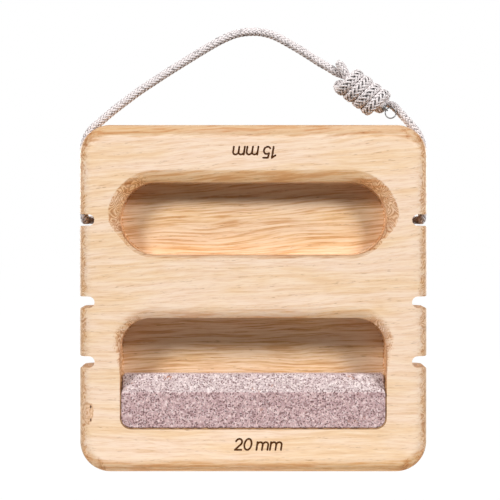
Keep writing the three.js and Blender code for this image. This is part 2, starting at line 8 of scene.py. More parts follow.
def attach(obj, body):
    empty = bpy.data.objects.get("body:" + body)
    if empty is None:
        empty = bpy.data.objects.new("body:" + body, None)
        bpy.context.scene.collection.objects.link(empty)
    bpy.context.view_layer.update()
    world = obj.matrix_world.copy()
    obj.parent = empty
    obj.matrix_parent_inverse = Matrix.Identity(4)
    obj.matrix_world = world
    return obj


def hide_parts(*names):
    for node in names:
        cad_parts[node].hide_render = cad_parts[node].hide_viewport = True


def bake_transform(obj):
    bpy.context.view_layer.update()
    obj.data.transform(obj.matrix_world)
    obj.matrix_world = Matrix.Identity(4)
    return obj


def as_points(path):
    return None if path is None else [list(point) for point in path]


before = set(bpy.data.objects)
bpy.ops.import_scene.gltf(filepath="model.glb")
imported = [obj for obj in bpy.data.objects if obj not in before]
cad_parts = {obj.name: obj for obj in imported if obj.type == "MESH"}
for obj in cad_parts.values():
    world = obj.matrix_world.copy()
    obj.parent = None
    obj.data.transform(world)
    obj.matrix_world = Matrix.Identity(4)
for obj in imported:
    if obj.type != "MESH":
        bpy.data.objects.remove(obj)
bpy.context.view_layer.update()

# Portable hangboard. Lengths are millimetres from the middle of the board, unless a comment says
# otherwise; place() turns them into the frame's metres, whose origin is the hanging point.
MM = 0.001
ORIGIN_HEIGHT = 152.3

# Board, pockets and stone
BOARD_HALF = 100
BOARD_CORNER = 17.5
BOARD_EDGE = 8
FRONT = -19
BACK = 19
OVERRUN = 6
POCKET_HALF = 76.5
SHALLOW_TOP, SHALLOW_BOTTOM, SHALLOW_DEPTH = 66.8, 25.3, 15
SHALLOW_LIP, SHALLOW_LOW_LIP, SHALLOW_SLOPE = 7.6, 2.2, 0.2
LIP_WIDENING = (0.2, 0.55)
DEEP_TOP, DEEP_BOTTOM, DEEP_DEPTH = -11.1, -74.8, 20
DEEP_TOP_RADIUS, DEEP_LOW_RADIUS, DEEP_LIP, DEEP_SLOPE = 17.5, 6.5, 7, 0.05
LIP_SLOPE_GAIN = 0.048
LIP_STEPS, LIP_ARRIS, ARRIS_STEPS, LIP_LEAST = 8, 0.4, 4, 0.2
FLOOR_FILLET = 0.9
STONE_HALF, STONE_LOW, STONE_TOP = 75.9, -74.1, -43.8
STONE_LOW_RADIUS, STONE_HIGH_RADIUS = 5.8, 2
STONE_CHAMFER = 9.6
STONE_ARRIS = 0.6
STONE_BACK = -0.2
FILLER_OUT, FILLER_DEPTH, FILLER_RADIUS, FILLER_SIDES = 0.32, 0.55, 0.27, 8
FILLER_UNDER, FILLER_STEP, FILLER_UNEVEN, FILLER_WAVES = 0.8, 0.8, 0.3, 0.4
STONE_CELL = 0.42
STONE_UNEVEN, STONE_WAVES = 0.05, (900, 250)
CORNER_STEPS, EDGE_STEPS, FINE_STEPS = 20, 14, 4
BOARD_SHARP, CRIMP_SHARP = radians(32), radians(50)

# A direction that no tube starts along
TUBE_START = (0.3, 1, 0.2)

# Grooves and notches
GROOVE_WIDTH, GROOVE_DEPTH = 5.8, 4.2
NOTCH_HEIGHTS = (45.2, -1.9, -36.2)
NOTCH_DEPTH, NOTCH_WIDTH, NOTCH_MOUTH = 9, 6.6, 1.2
GROOVE_STEPS, NOTCH_STEPS, SEAT_STEPS, SEAT_SIDES = 20, 24, 12, 24

# Cord
CORD_RADIUS = 2.5
CLEARANCE = 0.3
CORD_LINE = 98.6
CORNER_BEND, CORNER_BEND_START = 18, 86.2
SEAT_BEND, BACK_BEND = 5.6, 5.8
BEHIND = 21.8
LEFT_TURN, RIGHT_TURN = radians(50.3), radians(41.3)
SWING_HEIGHT = 103
LOOP_ROUTE = [
    (-83.5, 107.3), (-78.2, 111.5), (-72.9, 115.5), (-66.7, 120.1), (-59, 125.2), (-49.7, 131.3),
    (-40.4, 137.1), (-31, 142.9), (-22.2, 148.1), (-15.7, 151.4), (-9.1, 153.8), (-3, 154.7),
    (0, 154.8), (3, 154.7), (8.6, 153.7), (13.7, 151.8), (20, 148.4), (27.3, 144.2), (33.3, 140.4),
    (38.9, 136.8),
]

# Barrel knot, in its own frame: along its axis, up from it, towards the front
ROUTE_STEP = 0.5
KNOT_MIDDLE = (63.6, 0, 119.6)
KNOT_SLOPE = atan2(-3, 4)
WRAP_TURNS, WRAP_LEAD, WRAP_PITCH, WRAP_RADIUS = 3.5, radians(60), 6.4, 7.25
WRAP_HALF_WIDTH, WRAP_HALF_HEIGHT = 3.2, 2.35
CORE_RADIUS, CORE_STRAND = 2.78, 2.1
CORE_TWIST, CORE_REACH = radians(90), 8.5
CORE_POINTS, WRAP_POINTS = 5, 89
SOFTENING, THROUGH_ROWS = 3, 200
CORE_ANGLES = {"through": radians(-20), "tail": radians(100), "standing": radians(220)}
KNOT_ENTRY = [(-24.5, -0.3, 0), (-19.5, 0.1, 0), (-15.6, 1.1, -1), (-12, 1.9, -1.8)]
KNOT_TURN = [(11.2, -2.3, -2.2), (13.3, -2.3, -3.7), (14.2, -1, -5.6), (13.7, 1.3, -6.7)]
KNOT_DIVE = [(-12, -6.6, -3), (-13.4, -5.3, -4.4), (-14.2, -3.9, -3.5), (-12.6, -3, -1.8)]
KNOT_TAIL = [(10.6, 0, 2.85), (14.8, 0, 2.85)]
THROUGH_STUB = [(-22.3, 5, 2.2), (-19, 4.6, 3), (-16, 3.2, 3.7), (-12.6, 1.5, 2.9)]
THROUGH_EXIT = [(13.8, 2.8, -0.9), (17.4, 4.3, -0.8), (20, 4.5, -0.6), (22.5, 4.05, -0.4),
                (25.5, 3.51, -0.16)]

# Where the cord's section changes: lengths along the cord from its cut end, from where it leaves or
# enters the knot, and from its last end
THROUGH_NARROWS, THROUGH_WIDENS, CORE_NARROWS = (10, 15), (2.5, 7.5), (5, 12.8)
TAIL_NECK, NECK_LENGTH, NECK_FADE = 1.5, 12, (4.3, 6.3)
WRAPS_AFTER, WRAPS_HALF_LENGTH = 30, 20
WRAPS_FADE = (3.83, WRAP_RADIUS - 0.4)
CUT_OVERHANG, CUT_ROUND = 0.35, 1.9
# How far past the swing axis the cord's pieces meet, and how far from it the cord still bends
PIECES_MEET, BEND_REACH = 9, 6
PATH_LEAST, PATH_EVERY = 16, 8

# Braid of the cord's sheath
CARRIERS = 8
BRAID_PITCH = 20
BRAID_WAVE = 0.27
STRAND_WIDTH, STRAND_THICKNESS = 1.34, 0.58
WRAP_SQUARENESS = 0.72
STRAND_SIDES, CORE_SIDES = 8, 14
STRAND_SHAPE = (0.8, 0.9)
BRAID_STEP = 0.5
BRAID_CROSSING = 1.7
BRAID_THINNEST = 0.3
BRAID_ATTRIBUTES = ("along", "across", "shade", "sunk")

# Whipping, crimp and ring on the tail
WHIP_TURNS, WHIP_STEPS, WHIP_SIDES, WHIP_THREAD, WHIP_RADIUS = 5, 28, 10, 0.42, 1.86
EYE_ALONG, EYE_RADIUS, EYE_WIRE, EYE_SIDES = 17.15, 0.85, 0.33, 12
RING_RADIUS, RING_WIRE, RING_STEPS, RING_SIDES = 3.1, 0.35, 56, 14
CRIMP_SIDES, MELT_SIDES, MELT_UNEVEN = 28, 24, 0.05
CRIMP_PROFILE = [(14.55, 1.5), (14.6, 1.72), (14.75, 1.8), (15.1, 1.8), (15.25, 1.66), (15.45, 1.66),
                 (15.6, 1.8), (15.95, 1.78), (16.15, 1.5), (16.25, 0.9)]
MELT_PROFILE = [(1.6, 1.7), (0.7, 1.75), (0.15, 1.5), (-0.12, 1.05), (-0.24, 0.5), (-0.27, 0.15)]

# Depth marks
MARKS = (("15 mm", (1.2, 84), True), ("20 mm", (2.5, -83.5), False))
MARK_HEIGHT, MARK_STROKE, MARK_SUNK, MARK_SLANT = 6.3, 0.58, 0.16, 0.16
LETTER_GAP, WORD_GAP, STROKE_SIDES, STROKE_TIP = 0.19, 0.3, 12, 0.08
SHARP_TURN = radians(40)

# Camera and stage, in metres
CAMERA_SPOT, CAMERA_DIP = (-0.0019, -1.041, -0.1053), 1.06
CAMERA_SENSOR, CAMERA_LENS = 36, 128.5
KEY_TURN, KEY_RISE, KEY_POWER = 51, 34.5, 21.5
BACK_TURN, BACK_RISE, BACK_POWER = 145, 6, 13.5
LAMP_DISTANCE, LAMP_SIZE, LAMP_AIM = 1.6, 0.35, -0.15
WORLD_LIGHT = 0.035
FLOOR_HEIGHT, FLOOR_RADIUS, FLOOR_SIDES = -0.3, 6, 64
FLOOR_NEAR, FLOOR_FAR = 0.11, 0.27
FLOOR_TONES, FLOOR_GLOW = (0.7, 0.03), 0.32


def place(points):
    return (np.asarray(points, dtype=float) - (0, 0, ORIGIN_HEIGHT)) * MM


def circle(count):
    return np.linspace(0, tau, count, endpoint=False)


def add_object(name, data):
    obj = bpy.data.objects.new(name, data)
    bpy.context.scene.collection.objects.link(obj)
    return obj


def add_camera():
    data = bpy.data.cameras.new("camera")
    data.sensor_width = CAMERA_SENSOR
    data.lens = CAMERA_LENS
    camera = add_object("camera", data)
    camera.location = CAMERA_SPOT
    camera.rotation_euler = (radians(90 - CAMERA_DIP), 0, 0)
    bpy.context.scene.camera = camera


# Meshes

def make_mesh(name, points, faces):
    mesh = bpy.data.meshes.new(name)
    mesh.from_pydata(np.asarray(points).tolist(), [], faces)
    mesh.validate()
    mesh.shade_smooth()
    return mesh


def make_object(mesh, *materials):
    for material in materials[len(mesh.materials):]:
        mesh.materials.append(material)
    return add_object(mesh.name, mesh)


def ring_faces(rows, count, first=0):
    return [(start + i, start + (i + 1) % count, start + count + (i + 1) % count, start + count + i)
            for start in range(first, first + (rows - 1) * count, count) for i in range(count)]


def loft_faces(rows, count, first=0):
    last = first + (rows - 1) * count
    ends = [tuple(reversed(range(first, first + count))), tuple(range(last, last + count))]
    return ring_faces(rows, count, first) + ends


def signed_volume(points, faces):
    points = np.asarray(points)
    return sum(np.dot(points[face[0]], np.cross(points[b], points[c]))
               for face in faces for b, c in zip(face[1:], face[2:]))


def solid(name, rings, faces=None):
    points = [point for ring in rings for point in ring]
    faces = faces or loft_faces(len(rings), len(rings[0]))
    if signed_volume(points, faces) < 0:
        faces = [tuple(reversed(face)) for face in faces]
    return make_mesh(name, place(points), faces)


def unit(vectors):
    return vectors / np.linalg.norm(vectors, axis=-1, keepdims=True)


def carried(normal, along):
    """A normal for each place of a route, turned with the route and never about it"""
    rows = []
    for tangent in along:
        normal = normal - np.dot(normal, tangent) * tangent
        normal = normal / np.linalg.norm(normal)
        rows.append(normal)
    return np.array(rows)


def signed_power(values, power):
    return np.sign(values) * np.abs(values) ** power


# Routes of the cord

def knot_point(place_in_knot):
    along, up, front = place_in_knot
    c, s = cos(KNOT_SLOPE), sin(KNOT_SLOPE)
    x, y, z = KNOT_MIDDLE
    return (x + c * along - s * up, y - front, z + s * along + c * up)


def knot_route(places):
    return [knot_point(place_in_knot) for place_in_knot in places]


KNOT_ALONG = np.array((cos(KNOT_SLOPE), 0, sin(KNOT_SLOPE)))
KNOT_UP = np.array((-sin(KNOT_SLOPE), 0, cos(KNOT_SLOPE)))
KNOT_FRONT = np.array((0, -1, 0))


def about_axis(along, radius, angle, front=0):
    return (along, radius * cos(angle), front + radius * sin(angle))


def core_points(strand):
    return [about_axis(along, CORE_RADIUS, CORE_ANGLES[strand] + CORE_TWIST * (CORE_REACH - along) /
                       (2 * CORE_REACH)) for along in np.linspace(-CORE_REACH, CORE_REACH, CORE_POINTS)]


def wrap_points():
    return [about_axis(WRAP_PITCH * (WRAP_TURNS / 2 - angle / tau), WRAP_RADIUS, angle)
            for angle in np.linspace(-WRAP_LEAD, tau * WRAP_TURNS, WRAP_POINTS)]


def smooth_route(points):
    """Centripetal Catmull-Rom curve through the points"""
    points = np.array(points, dtype=float)
    ends = np.vstack([2 * points[0] - points[1], points, 2 * points[-1] - points[-2]])
    route = []
    for a, b, c, d in zip(ends, ends[1:], ends[2:], ends[3:]):
        t1 = np.linalg.norm(b - a) ** 0.5
        t2 = t1 + np.linalg.norm(c - b) ** 0.5
        t3 = t2 + np.linalg.norm(d - c) ** 0.5
        count = max(2, ceil(np.linalg.norm(c - b) / ROUTE_STEP))
        for t in np.linspace(t1, t2, count, endpoint=False):
            ab = a + (b - a) * t / t1
            bc = b + (c - b) * (t - t1) / (t2 - t1)
            cd = c + (d - c) * (t - t2) / (t3 - t2)
            abc = ab + (bc - ab) * t / t2
            bcd = bc + (cd - bc) * (t - t1) / (t3 - t1)
            route.append(abc + (bcd - abc) * (t - t1) / (t2 - t1))
    route.append(points[-1])
    return np.array(route)


def rounded_route(corners, steps=24):
    """Straight runs between the points, each inner point rounded off by its radius"""
    route = [np.array(corners[0][0], dtype=float)]
    for before, (point, radius), after in zip(corners, corners[1:], corners[2:]):
        point = np.array(point, dtype=float)
        toward = unit(np.array(before[0]) - point)
        away = unit(np.array(after[0]) - point)
        turn = pi - acos(np.dot(toward, away))
        tangent = radius * tan(turn / 2)
        centre = point + unit(toward + away) * radius / cos(turn / 2)
        start = point + toward * tangent - centre
        end = point + away * tangent - centre
        for share in np.linspace(0, 1, steps + 1):
            arm = start * sin(turn * (1 - share)) + end * sin(turn * share)
            route.append(centre + arm / sin(turn))
    route.append(np.array(corners[-1][0], dtype=float))
    return np.array(route)


def exit_corner(turn):
    return CORNER_BEND_START + CORNER_BEND * tan(turn / 2)


def exit_point(side, turn):
    return (side * (CORD_LINE - (SWING_HEIGHT - exit_corner(turn)) * tan(turn)), 0, SWING_HEIGHT)


def run_side(side, turn):
    x = side * CORD_LINE
    return [
        (exit_point(side, turn), 0),
        ((x, 0, exit_corner(turn)), CORNER_BEND),
        ((x, 0, NOTCH_HEIGHTS[0]), SEAT_BEND),
        ((x, BEHIND, NOTCH_HEIGHTS[0]), BACK_BEND),
    ]


def distances(points):
    steps = np.linalg.norm(np.diff(points, axis=0), axis=1)
    return np.concatenate([[0], np.cumsum(steps)])


def resample(points, step):
    far = distances(points)
    at = np.linspace(0, far[-1], round(far[-1] / step) + 1)
    return np.stack([np.interp(at, far, points[:, k]) for k in range(3)], axis=1)


def soften(points, sigma):
    reach = 3 * sigma
    kernel = np.exp(-0.5 * (np.arange(-reach, reach + 1) / sigma) ** 2)
    kernel /= kernel.sum()
    padded = np.vstack([2 * points[0] - points[reach:0:-1], points,
                        2 * points[-1] - points[-2:-reach - 2:-1]])
    return np.stack([np.convolve(padded[:, k], kernel, mode="valid") for k in range(3)], axis=1)


def nearest(points, target):
    return int(np.argmin(np.linalg.norm(points - np.array(target), axis=1)))


def smoothstep(values, low, high):
    share = np.clip((values - low) / (high - low), 0, 1)
    return share * share * (3 - 2 * share)


def lerp(a, b, share):
    return a + (b - a) * share


class Rope:
    """The whole cord from its cut end through the knot, round the board and back into the knot"""

    def __init__(self):
        through = smooth_route(knot_route(THROUGH_STUB + core_points("through") + THROUGH_EXIT))
        run = rounded_route(run_side(1, RIGHT_TURN) + run_side(-1, LEFT_TURN)[::-1])
        left_exit = exit_point(-1, LEFT_TURN)
        wrapped = KNOT_ENTRY + core_points("standing") + KNOT_TURN + wrap_points()
        wrapped += KNOT_DIVE + core_points("tail") + KNOT_TAIL
        loop = smooth_route([left_exit] + [(x, 0, z) for x, z in LOOP_ROUTE] + knot_route(wrapped))
        line = soften(resample(np.vstack([through, run, loop[1:]]), BRAID_STEP / 2), SOFTENING)
        self.points = resample(line, BRAID_STEP)
        self.along = unit(np.gradient(self.points, axis=0))
        self.far = distances(self.points)
        self.ends = {
            "through": nearest(self.points[:THROUGH_ROWS], knot_point(THROUGH_EXIT[3])),
            "right_exit": nearest(self.points, exit_point(1, RIGHT_TURN)),
            "left_exit": nearest(self.points, left_exit),
            "entry": nearest(self.points, knot_point(KNOT_ENTRY[0])),
            "last": len(self.points) - 1,
        }
        self.normal = carried(np.cross(self.along[0], (0, 1, 0)), self.along)
        self.binormal = np.cross(self.along, self.normal)
        self.find_outward()
        self.find_section()

    def find_outward(self):
        arm = self.points - np.array(KNOT_MIDDLE)
        up, front = arm @ KNOT_UP, arm @ KNOT_FRONT
        self.reach = np.hypot(up, front)
        later = np.arange(len(self.points)) > self.ends["entry"] + WRAPS_AFTER / BRAID_STEP
        in_wraps = (self.reach > WRAPS_FADE[1]) & later & (np.abs(arm @ KNOT_ALONG) < WRAPS_HALF_LENGTH)
        outward = np.outer(up, KNOT_UP) + np.outer(front, KNOT_FRONT)
        first = int(np.argmax(in_wraps))
        self.outward = np.zeros_like(self.points)
        for rows in (range(first, len(self.points)), range(first - 1, -1, -1)):
            current = outward[first]
            for i in rows:
                if in_wraps[i]:
                    current = outward[i]
                current = current - np.dot(current, self.along[i]) * self.along[i]
                current = current / np.linalg.norm(current)
                self.outward[i] = current
        self.across = np.cross(self.along, self.outward)

    def find_section(self):
        entry, exit_ = self.far[self.ends["entry"]], self.far[self.ends["through"]]
        from_end = self.far[-1] - self.far
        through = np.minimum(smoothstep(self.far, *THROUGH_NARROWS),
                             smoothstep(exit_ - self.far, *THROUGH_WIDENS))
        size = lerp(np.full(len(self.points), CORD_RADIUS, dtype=float), CORE_STRAND, through)
        size = lerp(size, CORE_STRAND, smoothstep(self.far - entry, *CORE_NARROWS))
        neck = lerp(TAIL_NECK, size, smoothstep(from_end, *NECK_FADE))
        size = np.where(from_end < NECK_LENGTH, neck, size)
        wrapped = smoothstep(self.reach, *WRAPS_FADE) * (self.far > entry + WRAPS_AFTER)
        cut_end = np.sqrt(1 - np.clip(1 - (self.far + CUT_OVERHANG) / CUT_ROUND, 0, 1) ** 2)
        self.squareness = lerp(1, WRAP_SQUARENESS, wrapped)
        self.half_across = lerp(size, WRAP_HALF_WIDTH, wrapped) * cut_end
        self.half_out = lerp(size, WRAP_HALF_HEIGHT, wrapped) * cut_end

    def tube_rows(self, rows, inset, sides):
        across = (self.half_across[rows] - inset)[:, None, None] * self.across[rows][:, None, :]
        out = (self.half_out[rows] - inset)[:, None, None] * self.outward[rows][:, None, :]
        power = self.squareness[rows][:, None]
        c, s = [signed_power(v(circle(sides))[None, :], power)[:, :, None] for v in (np.cos, np.sin)]
        return self.points[rows][:, None, :] + across * c + out * s

    def carrier(self, rows, hand, number):
        """One strand of the sheath: its rings, the places round a ring, and how far it is under others"""
        far, across, outward = self.far[rows], self.across[rows], self.outward[rows]
        half_across, half_out = self.half_across[rows], self.half_out[rows]
        angle = tau * (hand * far / BRAID_PITCH + number / CARRIERS)
        # A strand goes over two of the other hand and under two, which lie a half wave away from it
        crossing = 2 * CARRIERS * far / BRAID_PITCH
        phase = crossing + 2 * number - 0.5 if hand > 0 else 2 * number - crossing - 2.5
        wave = np.tanh(BRAID_CROSSING * np.cos(pi * phase / 2)) / tanh(BRAID_CROSSING)
        radial = np.cos(angle)[:, None] * self.normal[rows] + np.sin(angle)[:, None] * self.binormal[rows]
        on_across, on_out = [signed_power(np.sum(radial * axis, axis=1), self.squareness[rows])
                             for axis in (across, outward)]
        inset = STRAND_THICKNESS / 2 + BRAID_WAVE * (1 - wave)
        a, b = [np.maximum(half - inset, BRAID_THINNEST) for half in (half_across, half_out)]
        middle = self.points[rows] + (a * on_across)[:, None] * across
        middle = middle + (b * on_out)[:, None] * outward
        lift = (on_across / a)[:, None] * across + (on_out / b)[:, None] * outward
        tangent = unit(np.gradient(middle, axis=0))
        side = unit(np.cross(tangent, lift))
        lift = np.cross(side, tangent)
        width = STRAND_WIDTH / 2 * np.minimum(1, np.sqrt(half_across * half_out) / CORD_RADIUS)
        turns = circle(STRAND_SIDES)
        x, y = [signed_power(v, power) for v, power in zip((np.cos(turns), np.sin(turns)), STRAND_SHAPE)]
        bow = (width[:, None] * x) ** 2 / (2 * np.minimum(a, b)[:, None])
        height = STRAND_THICKNESS / 2 * y[None, :] - bow
        points = middle[:, None, :] + (width[:, None] * x)[:, :, None] * side[:, None, :]
        return points + height[:, :, None] * lift[:, None, :], x, (1 - wave) / 2

    def piece(self, name, first, last, sheath, core):
        points, faces, slots, values, size = [], [], [], [], 0
        part = slice(first, last + 1)

        def add(rows, x, tone, dip, slot):
            nonlocal size
            count, sides = rows.shape[:2]
            points.append(rows.reshape(-1, 3))
            made = loft_faces(count, sides, size)
            faces.extend(made)
            slots.extend([slot] * len(made))
            values.append((np.repeat(self.far[part], sides), np.tile(x, count),
                           np.full(count * sides, tone), np.repeat(dip, sides)))
            size += count * sides

        ring = self.tube_rows(part, STRAND_THICKNESS + BRAID_WAVE, CORE_SIDES)
        add(ring, np.zeros(CORE_SIDES), 0.5, np.ones(len(ring)), 1)
        for hand in (1, -1):
            for number in range(CARRIERS):
                rows, x, dip = self.carrier(part, hand, number)
                tone = (number + 0.5) / CARRIERS * 0.5 + (0.5 if hand < 0 else 0)
                add(rows, x, tone, dip, 0)
        mesh = make_mesh(name, place(np.vstack(points)), faces)
        mesh.polygons.foreach_set("material_index", slots)
        for key, column in zip(BRAID_ATTRIBUTES, zip(*values)):
            attribute = mesh.attributes.new(key, "FLOAT", "POINT")
            attribute.data.foreach_set("value", np.concatenate(column).astype(np.float32))
        return make_object(mesh, sheath, core)

    def path(self, first, last):
        count = max(PATH_LEAST, abs(last - first) // PATH_EVERY + 1)
        inner = np.linspace(first, last, count).round().astype(int)
        return [tuple(point) for point in place(self.points[inner])]


# Materials

def grey(value):
    return (value, value, value)


class Shader:
    """The node tree of a new material or world, with short names for the nodes that it is made from"""

    def __init__(self, name, kind="Material"):
        self.kind = kind
        self.block = (bpy.data.worlds if kind == "World" else bpy.data.materials).new(name)
        self.block.use_nodes = True
        self.tree = self.block.node_tree
        self.tree.nodes.clear()
        self.base = None

    def node(self, kind, inputs=(), **settings):
        made = self.tree.nodes.new("ShaderNode" + kind)
        for key, value in settings.items():
            setattr(made, key, value)
        for key, value in dict(inputs).items():
            socket = made.inputs[key]
            if isinstance(value, bpy.types.NodeSocket):
                self.tree.links.new(value, socket)
            else:
                socket.default_value = (*value, 1) if socket.type == "RGBA" else value
        return made

    def out(self, kind, inputs=(), output=0, **settings):
        return self.node(kind, inputs, **settings).outputs[output]

    def math(self, operation, a, b=0.0, c=0.0):
        return self.out("Math", {0: a, 1: b, 2: c}, operation=operation)

    def times(self, a, b):
        return self.math("MULTIPLY", a, b)

    def plus(self, a, b):
        return self.math("ADD", a, b)

    def minus(self, a, b):
        return self.math("SUBTRACT", a, b)

    def scaled(self, a, factor, added):
        return self.math("MULTIPLY_ADD", a, factor, added)

    def size(self, a):
        return self.math("ABSOLUTE", a)

    def hypot(self, a, b):
        return self.math("SQRT", self.plus(self.math("POWER", a, 2), self.math("POWER", b, 2)))

    def step(self, value, low, high, to_low=0.0, to_high=1.0):
        return self.out("MapRange", {0: value, 1: low, 2: high, 3: to_low, 4: to_high},
                        interpolation_type="SMOOTHSTEP")

    def split(self, vector):
        return self.node("SeparateXYZ", {0: vector}).outputs

    def join(self, *parts):
        return self.out("CombineXYZ", dict(enumerate(parts)))

    def normal(self):
        return self.split(self.out("TexCoord", output="Normal"))

    def millimetres(self, stretch=(1, 1, 1), turn=(0, 0, 0)):
        return self.out("Mapping", {"Vector": self.out("TexCoord", output="Object"), "Rotation": turn,
                                    "Scale": [s / MM for s in stretch]})

    def noise(self, vector, scale, detail=3.0, roughness=0.5, distortion=0.0):
        return self.out("TexNoise", {"Vector": vector, "Scale": scale, "Detail": detail,
                                     "Roughness": roughness, "Distortion": distortion})

    def ramp(self, factor, *stops):
        made = self.node("ValToRGB", {0: factor})
        elements = made.color_ramp.elements
        while len(elements) < len(stops):
            elements.new(0.5)
        for element, (position, color) in zip(elements, stops):
            element.position = position
            element.color = (*color, 1)
        return made.outputs[0]

    def mix(self, factor, a, b, blend="MIX"):
        return self.out("Mix", {0: factor, 6: a, 7: b}, 2, data_type="RGBA", blend_type=blend)

    def paint(self, share, color):
        self.base = self.mix(share, self.base, color)

    def stain(self, share, color):
        self.base = self.mix(share, self.base, color, "MULTIPLY")

    def seen(self):
        """1 for what the camera sees itself, in gloss or through a clear piece, and 0 for other light"""
        path = self.node("LightPath").outputs
        first = self.plus(path["Is Camera Ray"], path["Is Glossy Ray"])
        return self.out("Math", {0: first, 1: path["Is Transmission Ray"]}, operation="ADD", use_clamp=True)

    def surface(self, shader):
        self.tree.links.new(shader, self.node("Output" + self.kind).inputs["Surface"])
        return self.block

    def finish(self, inputs, height=None, strength=0.0, distance=0.0):
        """The base colour on a principled shader, with bump where a height is given, in metres"""
        inputs = {"Base Color": self.base, **inputs}
        if height is not None:
            bump = {"Strength": strength, "Distance": distance, "Height": height}
            inputs["Normal"] = self.out("Bump", bump)
        return self.surface(self.out("BsdfPrincipled", inputs))


WOOD_CREAM = (0.94, 0.725, 0.565)
WOOD_LIGHT = (0.96, 0.755, 0.57)
WOOD_GOLD = (0.90, 0.645, 0.41)
WOOD_LATE = (0.80, 0.52, 0.305)
WOOD_PORE = (0.42, 0.215, 0.10)
OIL_AND_SHADE_ABOVE, OIL_AND_SHADE_BELOW = (0.67, 0.59, 0.48), (1.0, 0.87, 0.68)
PITH_BEHIND, PITH_BELOW, RINGS_PER_MM = 70, 390, 0.19
FLATTENING = 1.3
FIGURE_LINES = 105
PIN_KNOT_X, PIN_KNOT_Z = -95.3, -65.5 - ORIGIN_HEIGHT
PIN_KNOT_HALF = (3.6, 6.6)


